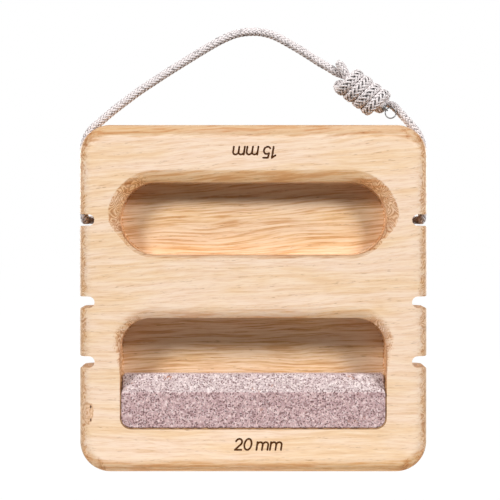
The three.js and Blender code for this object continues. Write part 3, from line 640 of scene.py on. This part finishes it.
def wood_material():
    s = Shader("oiled_wood")
    times, plus, step = s.times, s.plus, s.step
    x, y, z = s.split(s.millimetres())
    facing_x, facing_y, facing_z = s.normal()
    sideways, upright = s.size(facing_x), s.size(facing_z)
    wide, high = s.size(x), s.size(plus(z, ORIGIN_HEIGHT))

    # The fibres rise to the right, more so near the top, and wander a little
    rise = step(z, -250, -70, 0.0, 0.085)
    wander = s.noise(s.millimetres((0.35, 1, 1)), 0.035, 2)
    level = plus(s.minus(z, times(rise, x)), times(wander, 9))

    def grain(length, height, detail, roughness=0.5, shift=0.0):
        behind = s.scaled(y, 1 / (FLATTENING * height), shift)
        return s.noise(s.join(times(x, 1 / length), behind, times(level, 1 / height)), 1, detail, roughness)

    broad = grain(60, 9, 3)
    streaks = grain(26, 1.6, 4, 0.6, 40)
    s.base = WOOD_CREAM
    s.paint(step(broad, 0.42, 0.62), WOOD_GOLD)
    s.paint(step(streaks, 0.38, 0.55, 0.75, 0), WOOD_LIGHT)
    s.paint(step(streaks, 0.52, 0.68, 0, 0.6), WOOD_LATE)

    # Growth rings round a pith far below and behind the board, and pores in their early wood
    rings = s.math("FRACT", times(s.hypot(plus(y, -PITH_BEHIND), plus(level, PITH_BELOW)), RINGS_PER_MM))
    early = times(step(rings, 0.0, 0.12), step(rings, 0.5, 0.15))
    s.paint(times(early, 0.28), WOOD_LATE)
    s.paint(step(grain(9, 0.5, 2, 0.5, 80), 0.48, 0.72, 0, 0.55), WOOD_LATE)
    pore = times(step(grain(5, 0.5, 2, 0.6, 120), 0.58, 0.72), plus(times(early, 0.8), 0.2))
    s.paint(times(pore, 0.7), WOOD_PORE)

    # Places in front of the back's round-over, within so much of the board's width and height
    def zone(share, wide_out, wide_in, high_out, high_in):
        return times(times(share, step(y, 12, 8)),
                     times(step(wide, wide_out, wide_in), step(high, high_out, high_in)))

    inside = zone(step(y, FRONT + 2, FRONT + 5), 84, 79, 86, 82)
    lip = zone(step(facing_y, -0.9995, -0.95), 90, 87, 90, 86)
    ledge_shade = zone(step(facing_z, 0.05, 0.5), 90, 87, 90, 86)
    outside = s.minus(1.0, inside)

    # Surfaces that turn away from the front are stained darker and more orange, with a feathered edge along
    # the grain: partly the edges' own tone, partly painted shade, upward faces darker than downward ones
    feather = s.scaled(grain(9, 1.1, 3, 0.6, 160), 0.9, -0.45)
    turned = times(step(s.scaled(feather, 0.5, upright), 0.02, 0.38), outside)
    s.stain(turned, s.mix(step(facing_z, -0.15, 0.15), OIL_AND_SHADE_BELOW, OIL_AND_SHADE_ABOVE))
    s.stain(times(turned, step(streaks, 0.46, 0.6, 0.0, 0.5)), WOOD_LATE)

    # The sloping lips are darkened, the deep pocket's more than the shallow one's: painted shade at the
    # pocket edges
    down = step(facing_z, -0.02, -0.12)
    shallow_shade = s.mix(down, (0.90, 0.87, 0.86), (1, 1, 1))
    deep_shade = s.mix(down, (0.72, 0.64, 0.60), (0.84, 0.85, 0.94))
    lip_shade = s.mix(step(z, 10 - ORIGIN_HEIGHT, -ORIGIN_HEIGHT), shallow_shade, deep_shade)
    s.stain(times(lip, outside), lip_shade)
    # Upward faces of the ledges inside the pockets are darkened: painted shade
    s.stain(ledge_shade, (0.84, 0.79, 0.76))

    # Curly figure where the round-overs and lips cut across the fibres: level lines of a slow noise
    swirl = s.noise(s.millimetres((1.2, 0.5, 0.8)), 0.12, 2, 0.4, 0.4)
    lines = s.scaled(s.math("SINE", times(swirl, FIGURE_LINES)), 0.5, 0.5)
    patch = s.noise(s.millimetres(), 0.22, 2, 0.5, 0.5)
    edge = plus(sideways, plus(times(feather, 0.7), s.scaled(patch, 0.6, -0.3)))
    outer = times(times(step(wide, 88, 92), step(edge, 0.40, 0.72)), step(sideways, 0.1, 0.2))
    upper = times(sideways, s.minus(0.0, facing_z))
    inner = times(times(step(wide, 90, 88), step(plus(edge, upper), 0.02, 0.2)), step(sideways, 0.02, 0.2))
    s.stain(s.math("MAXIMUM", outer, inner),
            s.ramp(lines, (0.0, (0.62, 0.43, 0.30)), (0.5, (0.82, 0.65, 0.50)), (0.95, (1.0, 0.95, 0.88))))

    # End grain on the two sides: growth rings cut square, with open pores
    holes = s.out("TexVoronoi", {"Vector": s.millimetres((0.15, 1, 1)), "Scale": 1.4}, "Distance")
    holes = times(step(holes, 0.42, 0.2, 0, 0.75), plus(times(early, 0.75), 0.25))
    bands = s.ramp(rings, (0.0, (0.46, 0.27, 0.15)), (0.16, (0.60, 0.39, 0.235)),
                   (0.6, (0.76, 0.53, 0.34)), (1.0, (0.66, 0.44, 0.27)))
    bands = s.mix(step(broad, 0.35, 0.65, 0, 0.5), bands, (0.56, 0.36, 0.22))
    bands = s.mix(holes, bands, (0.26, 0.14, 0.075))
    square = step(plus(sideways, times(feather, 0.3)), 0.72, 0.95)
    s.paint(times(step(wide, 88, 92), square), bands)

    # Inside the pockets the wood is darker and warmer than the front: painted shade in the recesses, with
    # streaks of grain across it
    s.stain(inside, (0.91, 0.85, 0.74))
    bars = grain(30, 1.1, 3, 0.6, 200)
    s.stain(times(inside, step(bars, 0.5, 0.64)), (0.80, 0.65, 0.50))
    s.paint(times(inside, step(bars, 0.47, 0.36, 0, 0.5)), WOOD_LIGHT)

    # One small knot in the left edge, with two dark dots
    def from_spot(at_x, at_z, half_width, half_height):
        return s.hypot(times(plus(x, -at_x), 1 / half_width), times(plus(z, -at_z), 1 / half_height))

    ragged = s.noise(s.millimetres(), 0.5, 3, 0.6)
    off = plus(from_spot(PIN_KNOT_X, PIN_KNOT_Z, *PIN_KNOT_HALF), s.scaled(ragged, 0.9, -0.45))
    front = step(y, 6, 0)
    eye = s.ramp(off, (0.1, (0.66, 0.36, 0.20)), (0.3, (0.92, 0.66, 0.46)), (0.48, (0.66, 0.37, 0.20)),
                 (0.64, (0.90, 0.63, 0.42)), (0.84, (0.62, 0.34, 0.18)), (1.0, (0.86, 0.60, 0.40)))
    s.paint(times(step(off, 1.15, 0.95), front), eye)
    for up in (3.6, -3.9):
        dot = from_spot(PIN_KNOT_X + 2, PIN_KNOT_Z + up, 0.55, 0.95)
        s.paint(times(step(dot, 1.3, 0.4), front), (0.09, 0.04, 0.02))

    return s.finish({"Roughness": s.scaled(pore, 0.2, 0.55), "Specular IOR Level": 0.15},
                    s.minus(times(streaks, 0.3), pore), 0.25, 0.0001)


def stone_material():
    s = Shader("speckled_stone")
    here = s.millimetres()

    def grains(scale, channel):
        cells = s.out("TexVoronoi", {"Vector": here, "Scale": scale}, "Color")
        return s.out("SeparateColor", {0: cells}, channel)

    s.base = s.ramp(grains(0.9, 0), (0.0, (0.30, 0.18, 0.18)), (0.3, (0.54, 0.36, 0.36)),
                    (0.75, (0.64, 0.44, 0.435)), (1.0, (0.84, 0.66, 0.65)))
    # Upward faces, the chamfer, take a paler, greyer copy of the colours: partly the chamfer's own finish,
    # partly painted sheen
    pale = s.ramp(grains(0.9, 0), (0.0, (0.32, 0.23, 0.23)), (0.3, (0.54, 0.44, 0.44)),
                  (0.75, (0.63, 0.53, 0.525)), (1.0, (0.82, 0.73, 0.72)))
    s.paint(s.step(s.normal()[2], 0.15, 0.6), pale)
    s.paint(s.step(s.noise(here, 0.07), 0.35, 0.7, 0, 0.22), (0.50, 0.33, 0.34))
    s.paint(s.step(grains(1.55, 1), 0.86, 0.89, 0, 0.8), (0.15, 0.075, 0.07))
    s.paint(s.step(grains(1.9, 2), 0.13, 0.10, 0, 0.55), (0.88, 0.78, 0.78))
    rust = s.times(s.step(s.noise(here, 0.11, 2), 0.62, 0.72), s.step(grains(1.1, 2), 0.6, 0.7, 0, 0.7))
    s.paint(rust, (0.42, 0.17, 0.09))
    dots = s.node("TexVoronoi", {"Vector": here, "Scale": 0.72}).outputs
    some = s.step(s.out("SeparateColor", {0: dots["Color"]}), 0.48, 0.6)
    pits = s.times(s.times(s.step(dots["Distance"], 0.36, 0.22), some), 0.9)
    s.paint(pits, (0.11, 0.05, 0.045))
    grit = s.minus(s.noise(here, 2.4, 4, 0.65), pits)
    return s.finish({"Roughness": 0.82, "Specular IOR Level": 0.2}, grit, 0.7, 0.0003)


def cloudy_material(name, scale, stops, inputs, *bump):
    """A material of one slow noise. Bump is its strength and its height in metres."""
    s = Shader(name)
    cloud = s.noise(s.millimetres(), scale)
    s.base = s.ramp(cloud, *stops)
    return s.finish(inputs, cloud if bump else None, *bump)


MARK_LOOK = ("burnt_mark", 2.5, [(0.35, (0.075, 0.027, 0.009)), (0.65, (0.150, 0.060, 0.022))],
             {"Roughness": 0.9, "Specular IOR Level": 0.0}, 0.3, 0.0001)
GLUE_LOOK = ("cured_glue", 0.4, [(0.34, (0.16, 0.075, 0.03)), (0.48, (0.40, 0.20, 0.085)),
                                 (0.62, (0.58, 0.34, 0.16))], {"Roughness": 0.45}, 0.4, 0.0002)
CORE_LOOK = ("cord_core", 1.4, [(0.3, (0.07, 0.065, 0.065)), (0.7, (0.17, 0.16, 0.16))], {"Roughness": 0.85})


def sheath_material():
    s = Shader("braided_sheath")
    along, across, shade, sunk = [s.out("Attribute", output="Fac", attribute_name=name)
                                  for name in BRAID_ATTRIBUTES]
    lane = s.scaled(shade, 37, s.times(across, 1.6))
    fibres = s.noise(s.join(s.times(along, 0.35), lane, shade), 2.2, 4, 0.6)
    spots = s.noise(s.join(s.times(along, 0.5), s.times(shade, 91)), 1.0, 2)
    s.base = s.ramp(fibres, (0.3, (0.53, 0.47, 0.465)), (0.46, (0.81, 0.74, 0.735)),
                    (0.7, (0.93, 0.87, 0.86)))
    s.paint(s.step(spots, 0.58, 0.66, 0, 0.6), (0.16, 0.14, 0.14))
    # Darker at each strand's two edges, where strands meet: painted shade
    s.paint(s.step(s.size(across), 0.75, 1.0, 0, 0.5), (0.20, 0.185, 0.19))
    # Darker where a strand dips under the others: painted shade
    s.paint(s.step(sunk, 0.25, 0.8, 0, 0.85), (0.10, 0.09, 0.09))
    return s.finish({"Roughness": 0.72, "Specular IOR Level": 0.4, "Sheen Weight": 0.25,
                     "Sheen Roughness": 0.4}, fibres, 0.5, 0.00015)


def thread_material():
    s = Shader("waxed_thread")
    here = s.millimetres(turn=(0, 0.9, 0))
    twist = s.out("TexWave", {"Vector": here, "Scale": 2.4, "Distortion": 1.5}, "Fac")
    s.base = s.ramp(twist, (0.0, (0.60, 0.54, 0.53)), (0.6, (0.88, 0.83, 0.82)))
    return s.finish({"Roughness": 0.6}, twist, 0.5, 0.0001)


def metal_material(name, tone, roughness):
    s = Shader(name)
    wear = s.noise(s.millimetres(), 1.2, 4, 0.6)
    s.base = s.ramp(wear, (0.3, grey(tone * 0.75)), (0.7, grey(tone)))
    rough = s.step(wear, 0.3, 0.7, roughness * 1.3, roughness * 0.8)
    return s.finish({"Metallic": 1.0, "Roughness": rough}, wear, 0.15, 0.00005)


# Board

def arc_outline(x, z, radius, start, end):
    points = []
    for angle in np.linspace(start, end, CORNER_STEPS + 1):
        nx, nz = cos(angle), sin(angle)
        points.append((x + radius * nx, z + radius * nz, nx, nz))
    return points


def rounded_outline(half, low, high, low_radius, high_radius, side_heights=()):
    q = pi / 2
    low_x, low_z = half - low_radius, low + low_radius
    high_x, high_z = half - high_radius, high - high_radius
    return [
        *arc_outline(low_x, low_z, low_radius, -q, 0),
        *[(half, z, 1, 0) for z in side_heights],
        *arc_outline(high_x, high_z, high_radius, 0, q),
        *arc_outline(-high_x, high_z, high_radius, q, 2 * q),
        *[(-half, z, -1, 0) for z in reversed(side_heights)],
        *arc_outline(-low_x, low_z, low_radius, 2 * q, 3 * q),
    ]


def recess(radius, depth):
    return 0 if depth >= radius else radius - sqrt(radius ** 2 - (radius - depth) ** 2)


def round_depths(radius, steps=EDGE_STEPS):
    return [radius * (1 - cos(pi / 2 * i / steps)) for i in range(steps + 1)]


def ring_at(outline, offset, y):
    return [(x + nx * offset(z), y, z + nz * offset(z)) for x, z, nx, nz in outline]


def board_blank():
    outline = rounded_outline(BOARD_HALF, -BOARD_HALF, BOARD_HALF, BOARD_CORNER, BOARD_CORNER)
    front = [(FRONT + d, d) for d in round_depths(BOARD_EDGE)]
    back = [(BACK - d, d) for d in reversed(round_depths(BOARD_EDGE))]
    return solid("board_blank", [ring_at(outline, lambda z: -recess(BOARD_EDGE, d), y)
                                 for y, d in front + back])


def lip_profile(width, slope):
    """A lip slopes in, ever steeper, and ends in a slightly rounded arris at the pocket's wall.
    Each point is how far it still is from the wall, and how deep it lies."""
    inner = slope + LIP_SLOPE_GAIN * width
    start, radius = atan(inner), min(LIP_ARRIS, width / 2)
    run = width - radius * (1 - sin(start))
    points = [(width - share * run, slope * share * run + LIP_SLOPE_GAIN / 2 * (share * run) ** 2)
              for share in np.linspace(0, 1, LIP_STEPS + 1)]
    left, deep = points[-1]
    for angle in np.linspace(start, pi / 2, ARRIS_STEPS + 1)[1:]:
        points.append((left - radius * (sin(angle) - sin(start)),
                       deep + radius * (cos(start) - cos(angle))))
    return points


def pocket_cutter(name, outline, depth, lip_at, slope):
    rings = [ring_at(outline, lip_at, FRONT - OVERRUN)]
    profiles = {z: lip_profile(lip_at(z), slope) for x, z, nx, nz in outline}
    for row in range(LIP_STEPS + 1 + ARRIS_STEPS):
        ring = []
        for x, z, nx, nz in outline:
            left, deep = profiles[z][row]
            ring.append((x + nx * left, FRONT + deep, z + nz * left))
        rings.append(ring)
    for d in reversed(round_depths(FLOOR_FILLET, FINE_STEPS)):
        rings.append(ring_at(outline, lambda z: -recess(FLOOR_FILLET, d), FRONT + depth - d))
    return solid(name, rings)


def shallow_lip(z):
    height = SHALLOW_TOP - SHALLOW_BOTTOM
    low, high = [SHALLOW_BOTTOM + share * height for share in LIP_WIDENING]
    return lerp(SHALLOW_LOW_LIP, SHALLOW_LIP, float(smoothstep(z, low, high)))


def deep_lip(z):
    share = min(max((z - STONE_TOP) / (DEEP_TOP - STONE_TOP), 0), 1)
    return max(DEEP_LIP * sin(pi / 2 * share), LIP_LEAST)


def through_body(name, outline, half_depth, shift, side):
    rings = [[(side * x, y, z + shift) for x, z in outline] for y in (-half_depth, half_depth)]
    return solid(name, rings)


def arc(x, z, radius, start, end, steps=12):
    return [(x + radius * cos(a), z + radius * sin(a)) for a in np.linspace(start, end, steps + 1)]


def notch_outline():
    q, half = pi / 2, NOTCH_WIDTH / 2
    edge = half + NOTCH_MOUTH
    return [
        *arc(BOARD_HALF - NOTCH_DEPTH + half, 0, half, q, 3 * q, NOTCH_STEPS),
        *arc(BOARD_HALF - NOTCH_MOUTH, -edge, NOTCH_MOUTH, q, 0),
        (BOARD_HALF + OVERRUN, -edge),
        (BOARD_HALF + OVERRUN, edge),
        *arc(BOARD_HALF - NOTCH_MOUTH, edge, NOTCH_MOUTH, 0, -q),
    ]


def groove_outline():
    floor = BOARD_HALF - GROOVE_DEPTH
    radius = CORNER_BEND - (CORD_LINE - floor)
    centre = CORD_LINE - CORNER_BEND
    run_out = BOARD_CORNER + OVERRUN
    c, s = cos(LEFT_TURN), sin(LEFT_TURN)
    tip = (centre + radius * c - run_out * s, CORNER_BEND_START + radius * s + run_out * c)
    bend = arc(centre, CORNER_BEND_START, radius, 0, LEFT_TURN, GROOVE_STEPS)
    upper = [*bend, tip, (BOARD_HALF + OVERRUN, tip[1])]
    return upper + [(x, -z) for x, z in reversed(upper)]


def round_tube(name, route, radius, sides, closed=False, shares=None):
    route = np.array(route, dtype=float)
    shares = shares or [1] * len(route)
    if closed:
        along = unit(np.roll(route, -1, axis=0) - np.roll(route, 1, axis=0))
    else:
        along = unit(np.gradient(route, axis=0))
    normals = carried(np.cross(along[0], TUBE_START), along)
    rings = [[point + radius * share * (cos(a) * normal + sin(a) * other) for a in circle(sides)]
             for point, normal, other, share in zip(route, normals, np.cross(along, normals), shares)]
    if not closed:
        return solid(name, rings)
    faces = ring_faces(len(rings), sides)
    last = (len(rings) - 1) * sides
    turned = min(range(sides), key=lambda k: np.linalg.norm(rings[-1][0] - rings[0][k]))
    for i in range(sides):
        j = (i + 1) % sides
        faces.append((last + i, last + j, (j + turned) % sides, (i + turned) % sides))
    return solid(name, rings, faces)


def seat_cutter(name, side, height, direction):
    x, reach = side * CORD_LINE, SEAT_BEND + NOTCH_WIDTH
    route = rounded_route([((x, 0, height + direction * reach), 0), ((x, 0, height), SEAT_BEND),
                           ((x, reach, height), 0)], SEAT_STEPS)
    return round_tube(name, route, CORD_RADIUS + CLEARANCE, SEAT_SIDES)


# Depth marks: strokes of plain figures and letters, measured in shares of a figure's height

def ellipse_arc(x, z, rx, rz, start, end, steps=16):
    angles = np.radians(np.linspace(start, end, steps + 1))
    return [(x + rx * cos(a), z + rz * sin(a)) for a in angles]


# Each glyph's advance and its lines. The nought's is closed.
GLYPHS = {
    "1": (0.34, [(0.02, 0.78), (0.3, 1), (0.3, 0)]),
    "5": (0.62, [(0.56, 1), (0.14, 1), (0.09, 0.58)] + ellipse_arc(0.3, 0.33, 0.3, 0.33, 128, -145)[1:]),
    "2": (0.62, ellipse_arc(0.3, 0.7, 0.28, 0.3, 165, -38) + [(0.03, 0), (0.61, 0)]),
    "0": (0.66, ellipse_arc(0.34, 0.5, 0.32, 0.5, 0, 360, 32)[:-1]),
    "m": (1.04, [(0.04, 0.7), (0.04, 0)],
          *[ellipse_arc(x, 0.45, 0.25, 0.25, 180, 0, 12) + [(x + 0.25, 0)] for x in (0.29, 0.79)]),
}


def smooth_runs(line, closed):
    """The smooth runs between a line's sharp corners. Each is rounded off at both ends as a stroke."""
    if closed:
        return [(line, True)]
    runs, run = [], [line[0]]
    for before, here, after in zip(line, line[1:], line[2:]):
        run.append(here)
        turn = Vector(np.subtract(here, before)).angle(Vector(np.subtract(after, here)))
        if turn > SHARP_TURN:
            runs.append((run, False))
            run = [here]
    runs.append((run + [line[-1]], False))
    return runs


def capsule(name, route, radius, closed):
    if closed:
        return round_tube(name, route, radius, STROKE_SIDES, True)
    route = np.array(route, dtype=float)
    first, last = unit(route[0] - route[1]), unit(route[-1] - route[-2])
    ends = [(radius * sin(a), max(cos(a), STROKE_TIP))
            for a in np.linspace(0, pi / 2, FINE_STEPS + 1)[1:]]
    head = [(route[0] + first * out, share) for out, share in reversed(ends)]
    tail = [(route[-1] + last * out, share) for out, share in ends]
    stations = head + [(point, 1) for point in route] + tail
    return round_tube(name, [point for point, share in stations], radius, STROKE_SIDES, False,
                      [share for point, share in stations])


def mark_cutters(text, centre, turned):
    width, strokes, cutters = 0, [], []
    for letter in text:
        if letter == " ":
            width += WORD_GAP
            continue
        advance, *lines = GLYPHS[letter]
        for line in lines:
            strokes += smooth_runs([(x + width, z) for x, z in line], letter == "0")
        width += advance + LETTER_GAP
    width -= LETTER_GAP
    sign = -1 if turned else 1
    for line, closed in strokes:
        flat = [((x + MARK_SLANT * z - width / 2) * MARK_HEIGHT, (z - 0.5) * MARK_HEIGHT) for x, z in line]
        route = [(centre[0] + sign * x, FRONT - MARK_SUNK, centre[1] + sign * z) for x, z in flat]
        cutters.append(capsule(f"mark_{centre[1]}_{len(cutters)}", route, MARK_STROKE, closed))
    return cutters


def applied(obj, name, *materials):
    graph = bpy.context.evaluated_depsgraph_get()
    graph.update()
    mesh = bpy.data.meshes.new_from_object(obj.evaluated_get(graph))
    mesh.name = name
    for slot, material in enumerate(materials[:len(mesh.materials)]):
        mesh.materials[slot] = material
    return make_object(mesh, *materials)


def carve(obj, cutters, operation="DIFFERENCE"):
    for cutter in cutters:
        modifier = obj.modifiers.new(cutter.name, "BOOLEAN")
        modifier.operation = operation
        modifier.solver = "MANIFOLD"
        modifier.object = cutter


def remove(objects):
    for obj in objects:
        mesh = obj.data
        bpy.data.objects.remove(obj)
        bpy.data.meshes.remove(mesh)


def wood_board(wood, mark):
    blank = make_object(board_blank(), wood, mark)
    shallow_end = (SHALLOW_TOP - SHALLOW_BOTTOM) / 2
    shallow = rounded_outline(POCKET_HALF, SHALLOW_BOTTOM, SHALLOW_TOP, shallow_end, shallow_end)
    lip_end = DEEP_TOP - DEEP_TOP_RADIUS
    fading = [lerp(STONE_TOP, lip_end, share) for share in np.linspace(0, 1, LIP_STEPS + 1)[:-1]]
    deep = rounded_outline(POCKET_HALF, DEEP_BOTTOM, DEEP_TOP, DEEP_LOW_RADIUS, DEEP_TOP_RADIUS, fading)
    meshes = [
        pocket_cutter("shallow_cutter", shallow, SHALLOW_DEPTH, shallow_lip, SHALLOW_SLOPE),
        pocket_cutter("deep_cutter", deep, DEEP_DEPTH, deep_lip, DEEP_SLOPE),
    ]
    for side in (-1, 1):
        meshes.append(through_body(f"groove_{side}", groove_outline(), GROOVE_WIDTH / 2, 0, side))
        for height in NOTCH_HEIGHTS:
            name = f"{side}_{height}"
            meshes.append(through_body(f"notch_{name}", notch_outline(), BACK + OVERRUN, height, side))
            meshes += [seat_cutter(f"seat_{name}_{way}", side, height, way) for way in (1, -1)]
    cutters = [make_object(mesh) for mesh in meshes]
    carve(blank, cutters)
    plain = applied(blank, "plain_board", wood, mark)
    plain.data.set_sharp_from_angle(angle=BOARD_SHARP)
    marks = [make_object(mesh, wood, mark) for words in MARKS for mesh in mark_cutters(*words)]
    for cutter in marks:
        cutter.data.polygons.foreach_set("material_index", [1] * len(cutter.data.polygons))
    carve(plain, marks)
    marked = applied(plain, "marked_board", wood, mark)
    marked.data.set_sharp_from_angle(angle=BOARD_SHARP)
    normals = marked.modifiers.new("even", "WEIGHTED_NORMAL")
    normals.keep_sharp = True
    board = applied(marked, "carved_board", wood, mark)
    remove([blank, plain, marked, *cutters, *marks])
    return board


def stone_edge(stone):
    """Sawn bar with a chamfer and rounded edges, its surface slightly uneven"""
    def outline_at(depth):
        high = STONE_TOP - STONE_CHAMFER * max(1 - depth / STONE_CHAMFER, 0)
        return rounded_outline(STONE_HALF, STONE_LOW, high, STONE_LOW_RADIUS, STONE_HIGH_RADIUS)

    depths = round_depths(STONE_ARRIS, FINE_STEPS) + [STONE_CHAMFER]
    rings = [ring_at(outline_at(d), lambda z: -recess(STONE_ARRIS, d), FRONT + d) for d in depths]
    rings.append(ring_at(outline_at(STONE_CHAMFER), lambda z: 0, STONE_BACK))
    rough = make_object(solid("stone_blank", rings))
    remesh = rough.modifiers.new("cells", "REMESH")
    remesh.mode = "VOXEL"
    remesh.voxel_size = STONE_CELL * MM
    remesh.use_smooth_shade = True
    bar = applied(rough, "stone_bar", stone)
    remove([rough])
    mesh = bar.data
    points, normals = np.empty((2, len(mesh.vertices) * 3))
    mesh.vertices.foreach_get("co", points)
    mesh.vertices.foreach_get("normal", normals)
    points, normals = points.reshape(-1, 3), normals.reshape(-1, 3)
    lift = [sum(STONE_UNEVEN * noise.noise(Vector(p) * waves) for waves in STONE_WAVES) for p in points]
    points += normals * (np.array(lift)[:, None] - STONE_UNEVEN) * MM
    mesh.vertices.foreach_set("co", points.ravel())
    mesh.update()
    return bar


def joint_filler(glue):
    """The line of glue in the joint round the bar, a little uneven: it follows the front and chamfer"""
    half, low = STONE_HALF + FILLER_OUT, STONE_LOW - FILLER_OUT
    radius = STONE_LOW_RADIUS + FILLER_OUT
    corner = arc(half - radius, low + radius, radius, 0, -pi / 2)
    right = [(half, STONE_TOP - FILLER_UNDER), (half, STONE_TOP - STONE_CHAMFER), *corner]
    line = np.array(right + [(-x, z) for x, z in reversed(right)])
    route = []
    for x, _, z in resample(np.insert(line, 1, 0, axis=1), FILLER_STEP):
        behind = max(z - (STONE_TOP - STONE_CHAMFER), 0)
        wander = FILLER_UNEVEN * noise.noise(Vector((x, z, 0)) * FILLER_WAVES)
        route.append((x, FRONT + FILLER_DEPTH + behind + wander, z))
    return make_object(round_tube("stone_joint_line", route, FILLER_RADIUS, FILLER_SIDES), glue)


# Whipping, crimp and ring, by their places along the knot

TAIL_START, TAIL_FRONT = KNOT_TAIL[0][0], KNOT_TAIL[0][2]


def tail_whipping(thread):
    start, length = TAIL_START + WHIP_THREAD, KNOT_TAIL[1][0] - TAIL_START - WHIP_THREAD
    places = [about_axis(start + length * share, WHIP_RADIUS, tau * WHIP_TURNS * share, TAIL_FRONT)
              for share in np.linspace(0, 1, WHIP_STEPS * WHIP_TURNS + 1)]
    return make_object(round_tube("whipping_turns", knot_route(places), WHIP_THREAD, WHIP_SIDES), thread)


def eye_crimp(metal):
    rings = [knot_route([about_axis(along, radius, a, TAIL_FRONT) for a in circle(CRIMP_SIDES)])
             for along, radius in CRIMP_PROFILE]
    barrel = make_object(solid("crimp_barrel", rings))
    eye_places = [(EYE_ALONG + EYE_RADIUS * cos(a), 0, TAIL_FRONT + EYE_RADIUS * sin(a))
                  for a in circle(CRIMP_SIDES)]
    eye = make_object(round_tube("crimp_eye", knot_route(eye_places), EYE_WIRE, EYE_SIDES, True))
    carve(barrel, [eye], "UNION")
    crimp = applied(barrel, "eye_crimp", metal)
    crimp.data.set_sharp_from_angle(angle=CRIMP_SHARP)
    remove([barrel, eye])
    return crimp


def small_ring(metal):
    places = [(EYE_ALONG + RING_RADIUS + RING_RADIUS * cos(a), RING_RADIUS * sin(a), TAIL_FRONT)
              for a in circle(RING_STEPS)]
    return make_object(round_tube("small_ring", knot_route(places), RING_WIRE, RING_SIDES, True), metal)


def melted_end(rope, core):
    tip, along = rope.points[0], rope.along[0]
    side = unit(np.cross(along, (0, 1, 0)))
    other = np.cross(along, side)
    rings = [[tip + along * height + radius * (cos(a) * side + sin(a) * other) *
              (1 + MELT_UNEVEN * sin(3 * a + 1)) for a in circle(MELT_SIDES)]
             for height, radius in MELT_PROFILE]
    return make_object(solid("melted_cord_end", rings), core)


# Stage

def add_floor():
    points = [(FLOOR_RADIUS * cos(a), FLOOR_RADIUS * sin(a), FLOOR_HEIGHT)
              for a in circle(FLOOR_SIDES)]
    s = Shader("pale_floor")
    where = s.out("NewGeometry", output="Position")
    out = s.out("VectorMath", {0: where, 1: (0, 0, FLOOR_HEIGHT)}, "Value", operation="DISTANCE")
    fade = s.step(out, FLOOR_NEAR, FLOOR_FAR)
    matt = s.out("BsdfDiffuse", {"Color": s.mix(fade, *[grey(tone) for tone in FLOOR_TONES])})
    strength = s.times(s.seen(), s.scaled(fade, 1 - FLOOR_GLOW, FLOOR_GLOW))
    glow = s.out("Emission", {"Color": grey(1), "Strength": strength})
    material = s.surface(s.out("AddShader", {0: matt, 1: glow}))
    floor = make_object(make_mesh("floor", points, [range(len(points))]), material)


def add_world():
    s = Shader("studio", "World")
    strength = s.scaled(s.seen(), 1 - WORLD_LIGHT, WORLD_LIGHT)
    bpy.context.scene.world = s.surface(s.out("Background", {"Color": grey(1), "Strength": strength}))


def add_lamp(name, turn, rise, power):
    turn, rise = radians(turn), radians(rise)
    reach = cos(rise) * LAMP_DISTANCE
    height = sin(rise) * LAMP_DISTANCE + LAMP_AIM
    spot = Vector((sin(turn) * reach, -cos(turn) * reach, height))
    data = bpy.data.lights.new(name, "AREA")
    data.shape = "RECTANGLE"
    data.size = data.size_y = LAMP_SIZE
    data.energy = power
    lamp = add_object(name, data)
    lamp.location = spot
    lamp.rotation_euler = (Vector((0, 0, LAMP_AIM)) - spot).to_track_quat("-Z", "Y").to_euler()


def main():
    scene = bpy.context.scene
    scene.view_settings.view_transform = "Standard"
    add_camera()

    sheath, core = sheath_material(), cloudy_material(*CORE_LOOK)
    rope = Rope()
    ends = rope.ends
    past_axis = round(PIECES_MEET / BRAID_STEP)
    right_end, left_end = ends["right_exit"] + past_axis, ends["left_exit"] - past_axis
    right = rope.piece("cord_right_and_through", 0, right_end, sheath, core)
    board_run = rope.piece("cord_round_board", right_end, left_end, sheath, core)
    left = rope.piece("cord_over_top", left_end, ends["entry"], sheath, core)
    wraps = rope.piece("knot_wraps_braided", ends["entry"], ends["last"], sheath, core)
    tip = melted_end(rope, core)
    whipping = tail_whipping(thread_material())
    crimp = eye_crimp(metal_material("dark_crimp", tone=0.16, roughness=0.4))
    ring = small_ring(metal_material("grey_wire", tone=0.2, roughness=0.3))

    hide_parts("knot_through_strand", "cord_right_stretch")
    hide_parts("cord_board_run")
    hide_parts("cord_left_stretch")
    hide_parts("knot_wraps")
    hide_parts("tail_whipping")
    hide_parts("tail_crimp")
    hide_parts("tail_ring")

    bend = round(BEND_REACH / BRAID_STEP)
    for obj, at, step in ((left, ends["left_exit"], 1), (right, ends["right_exit"], -1)):
        start, end = place(rope.points[[at + step * bend, at - step * bend]])
        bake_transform(obj)
    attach(board_run, "board")
    for obj in (wraps, tip, whipping, crimp):
        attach(obj, "loop")
    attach(ring, "ring")
    tuple(place(rope.points[left_end]))
    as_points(rope.path(left_end, ends["entry"]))
    tuple(place(rope.points[right_end]))
    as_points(rope.path(right_end, 0))

    wood, mark = wood_material(), cloudy_material(*MARK_LOOK)
    board = wood_board(wood, mark)
    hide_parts("wood_board")
    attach(board, "board")
    stone = stone_edge(stone_material())
    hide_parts("stone_edge")
    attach(stone, "board")
    glue = cloudy_material(*GLUE_LOOK)
    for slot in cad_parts["stone_glue_bed"].material_slots:
        slot.material = glue
    filler = joint_filler(glue)
    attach(filler, "board")

    add_floor()
    add_world()
    for side, name in ((-1, "left"), (1, "right")):
        add_lamp(f"softbox_{name}", side * KEY_TURN, KEY_RISE, KEY_POWER)
        add_lamp(f"softbox_back_{name}", side * BACK_TURN, BACK_RISE, BACK_POWER)

    bpy.context.view_layer.update()


main()
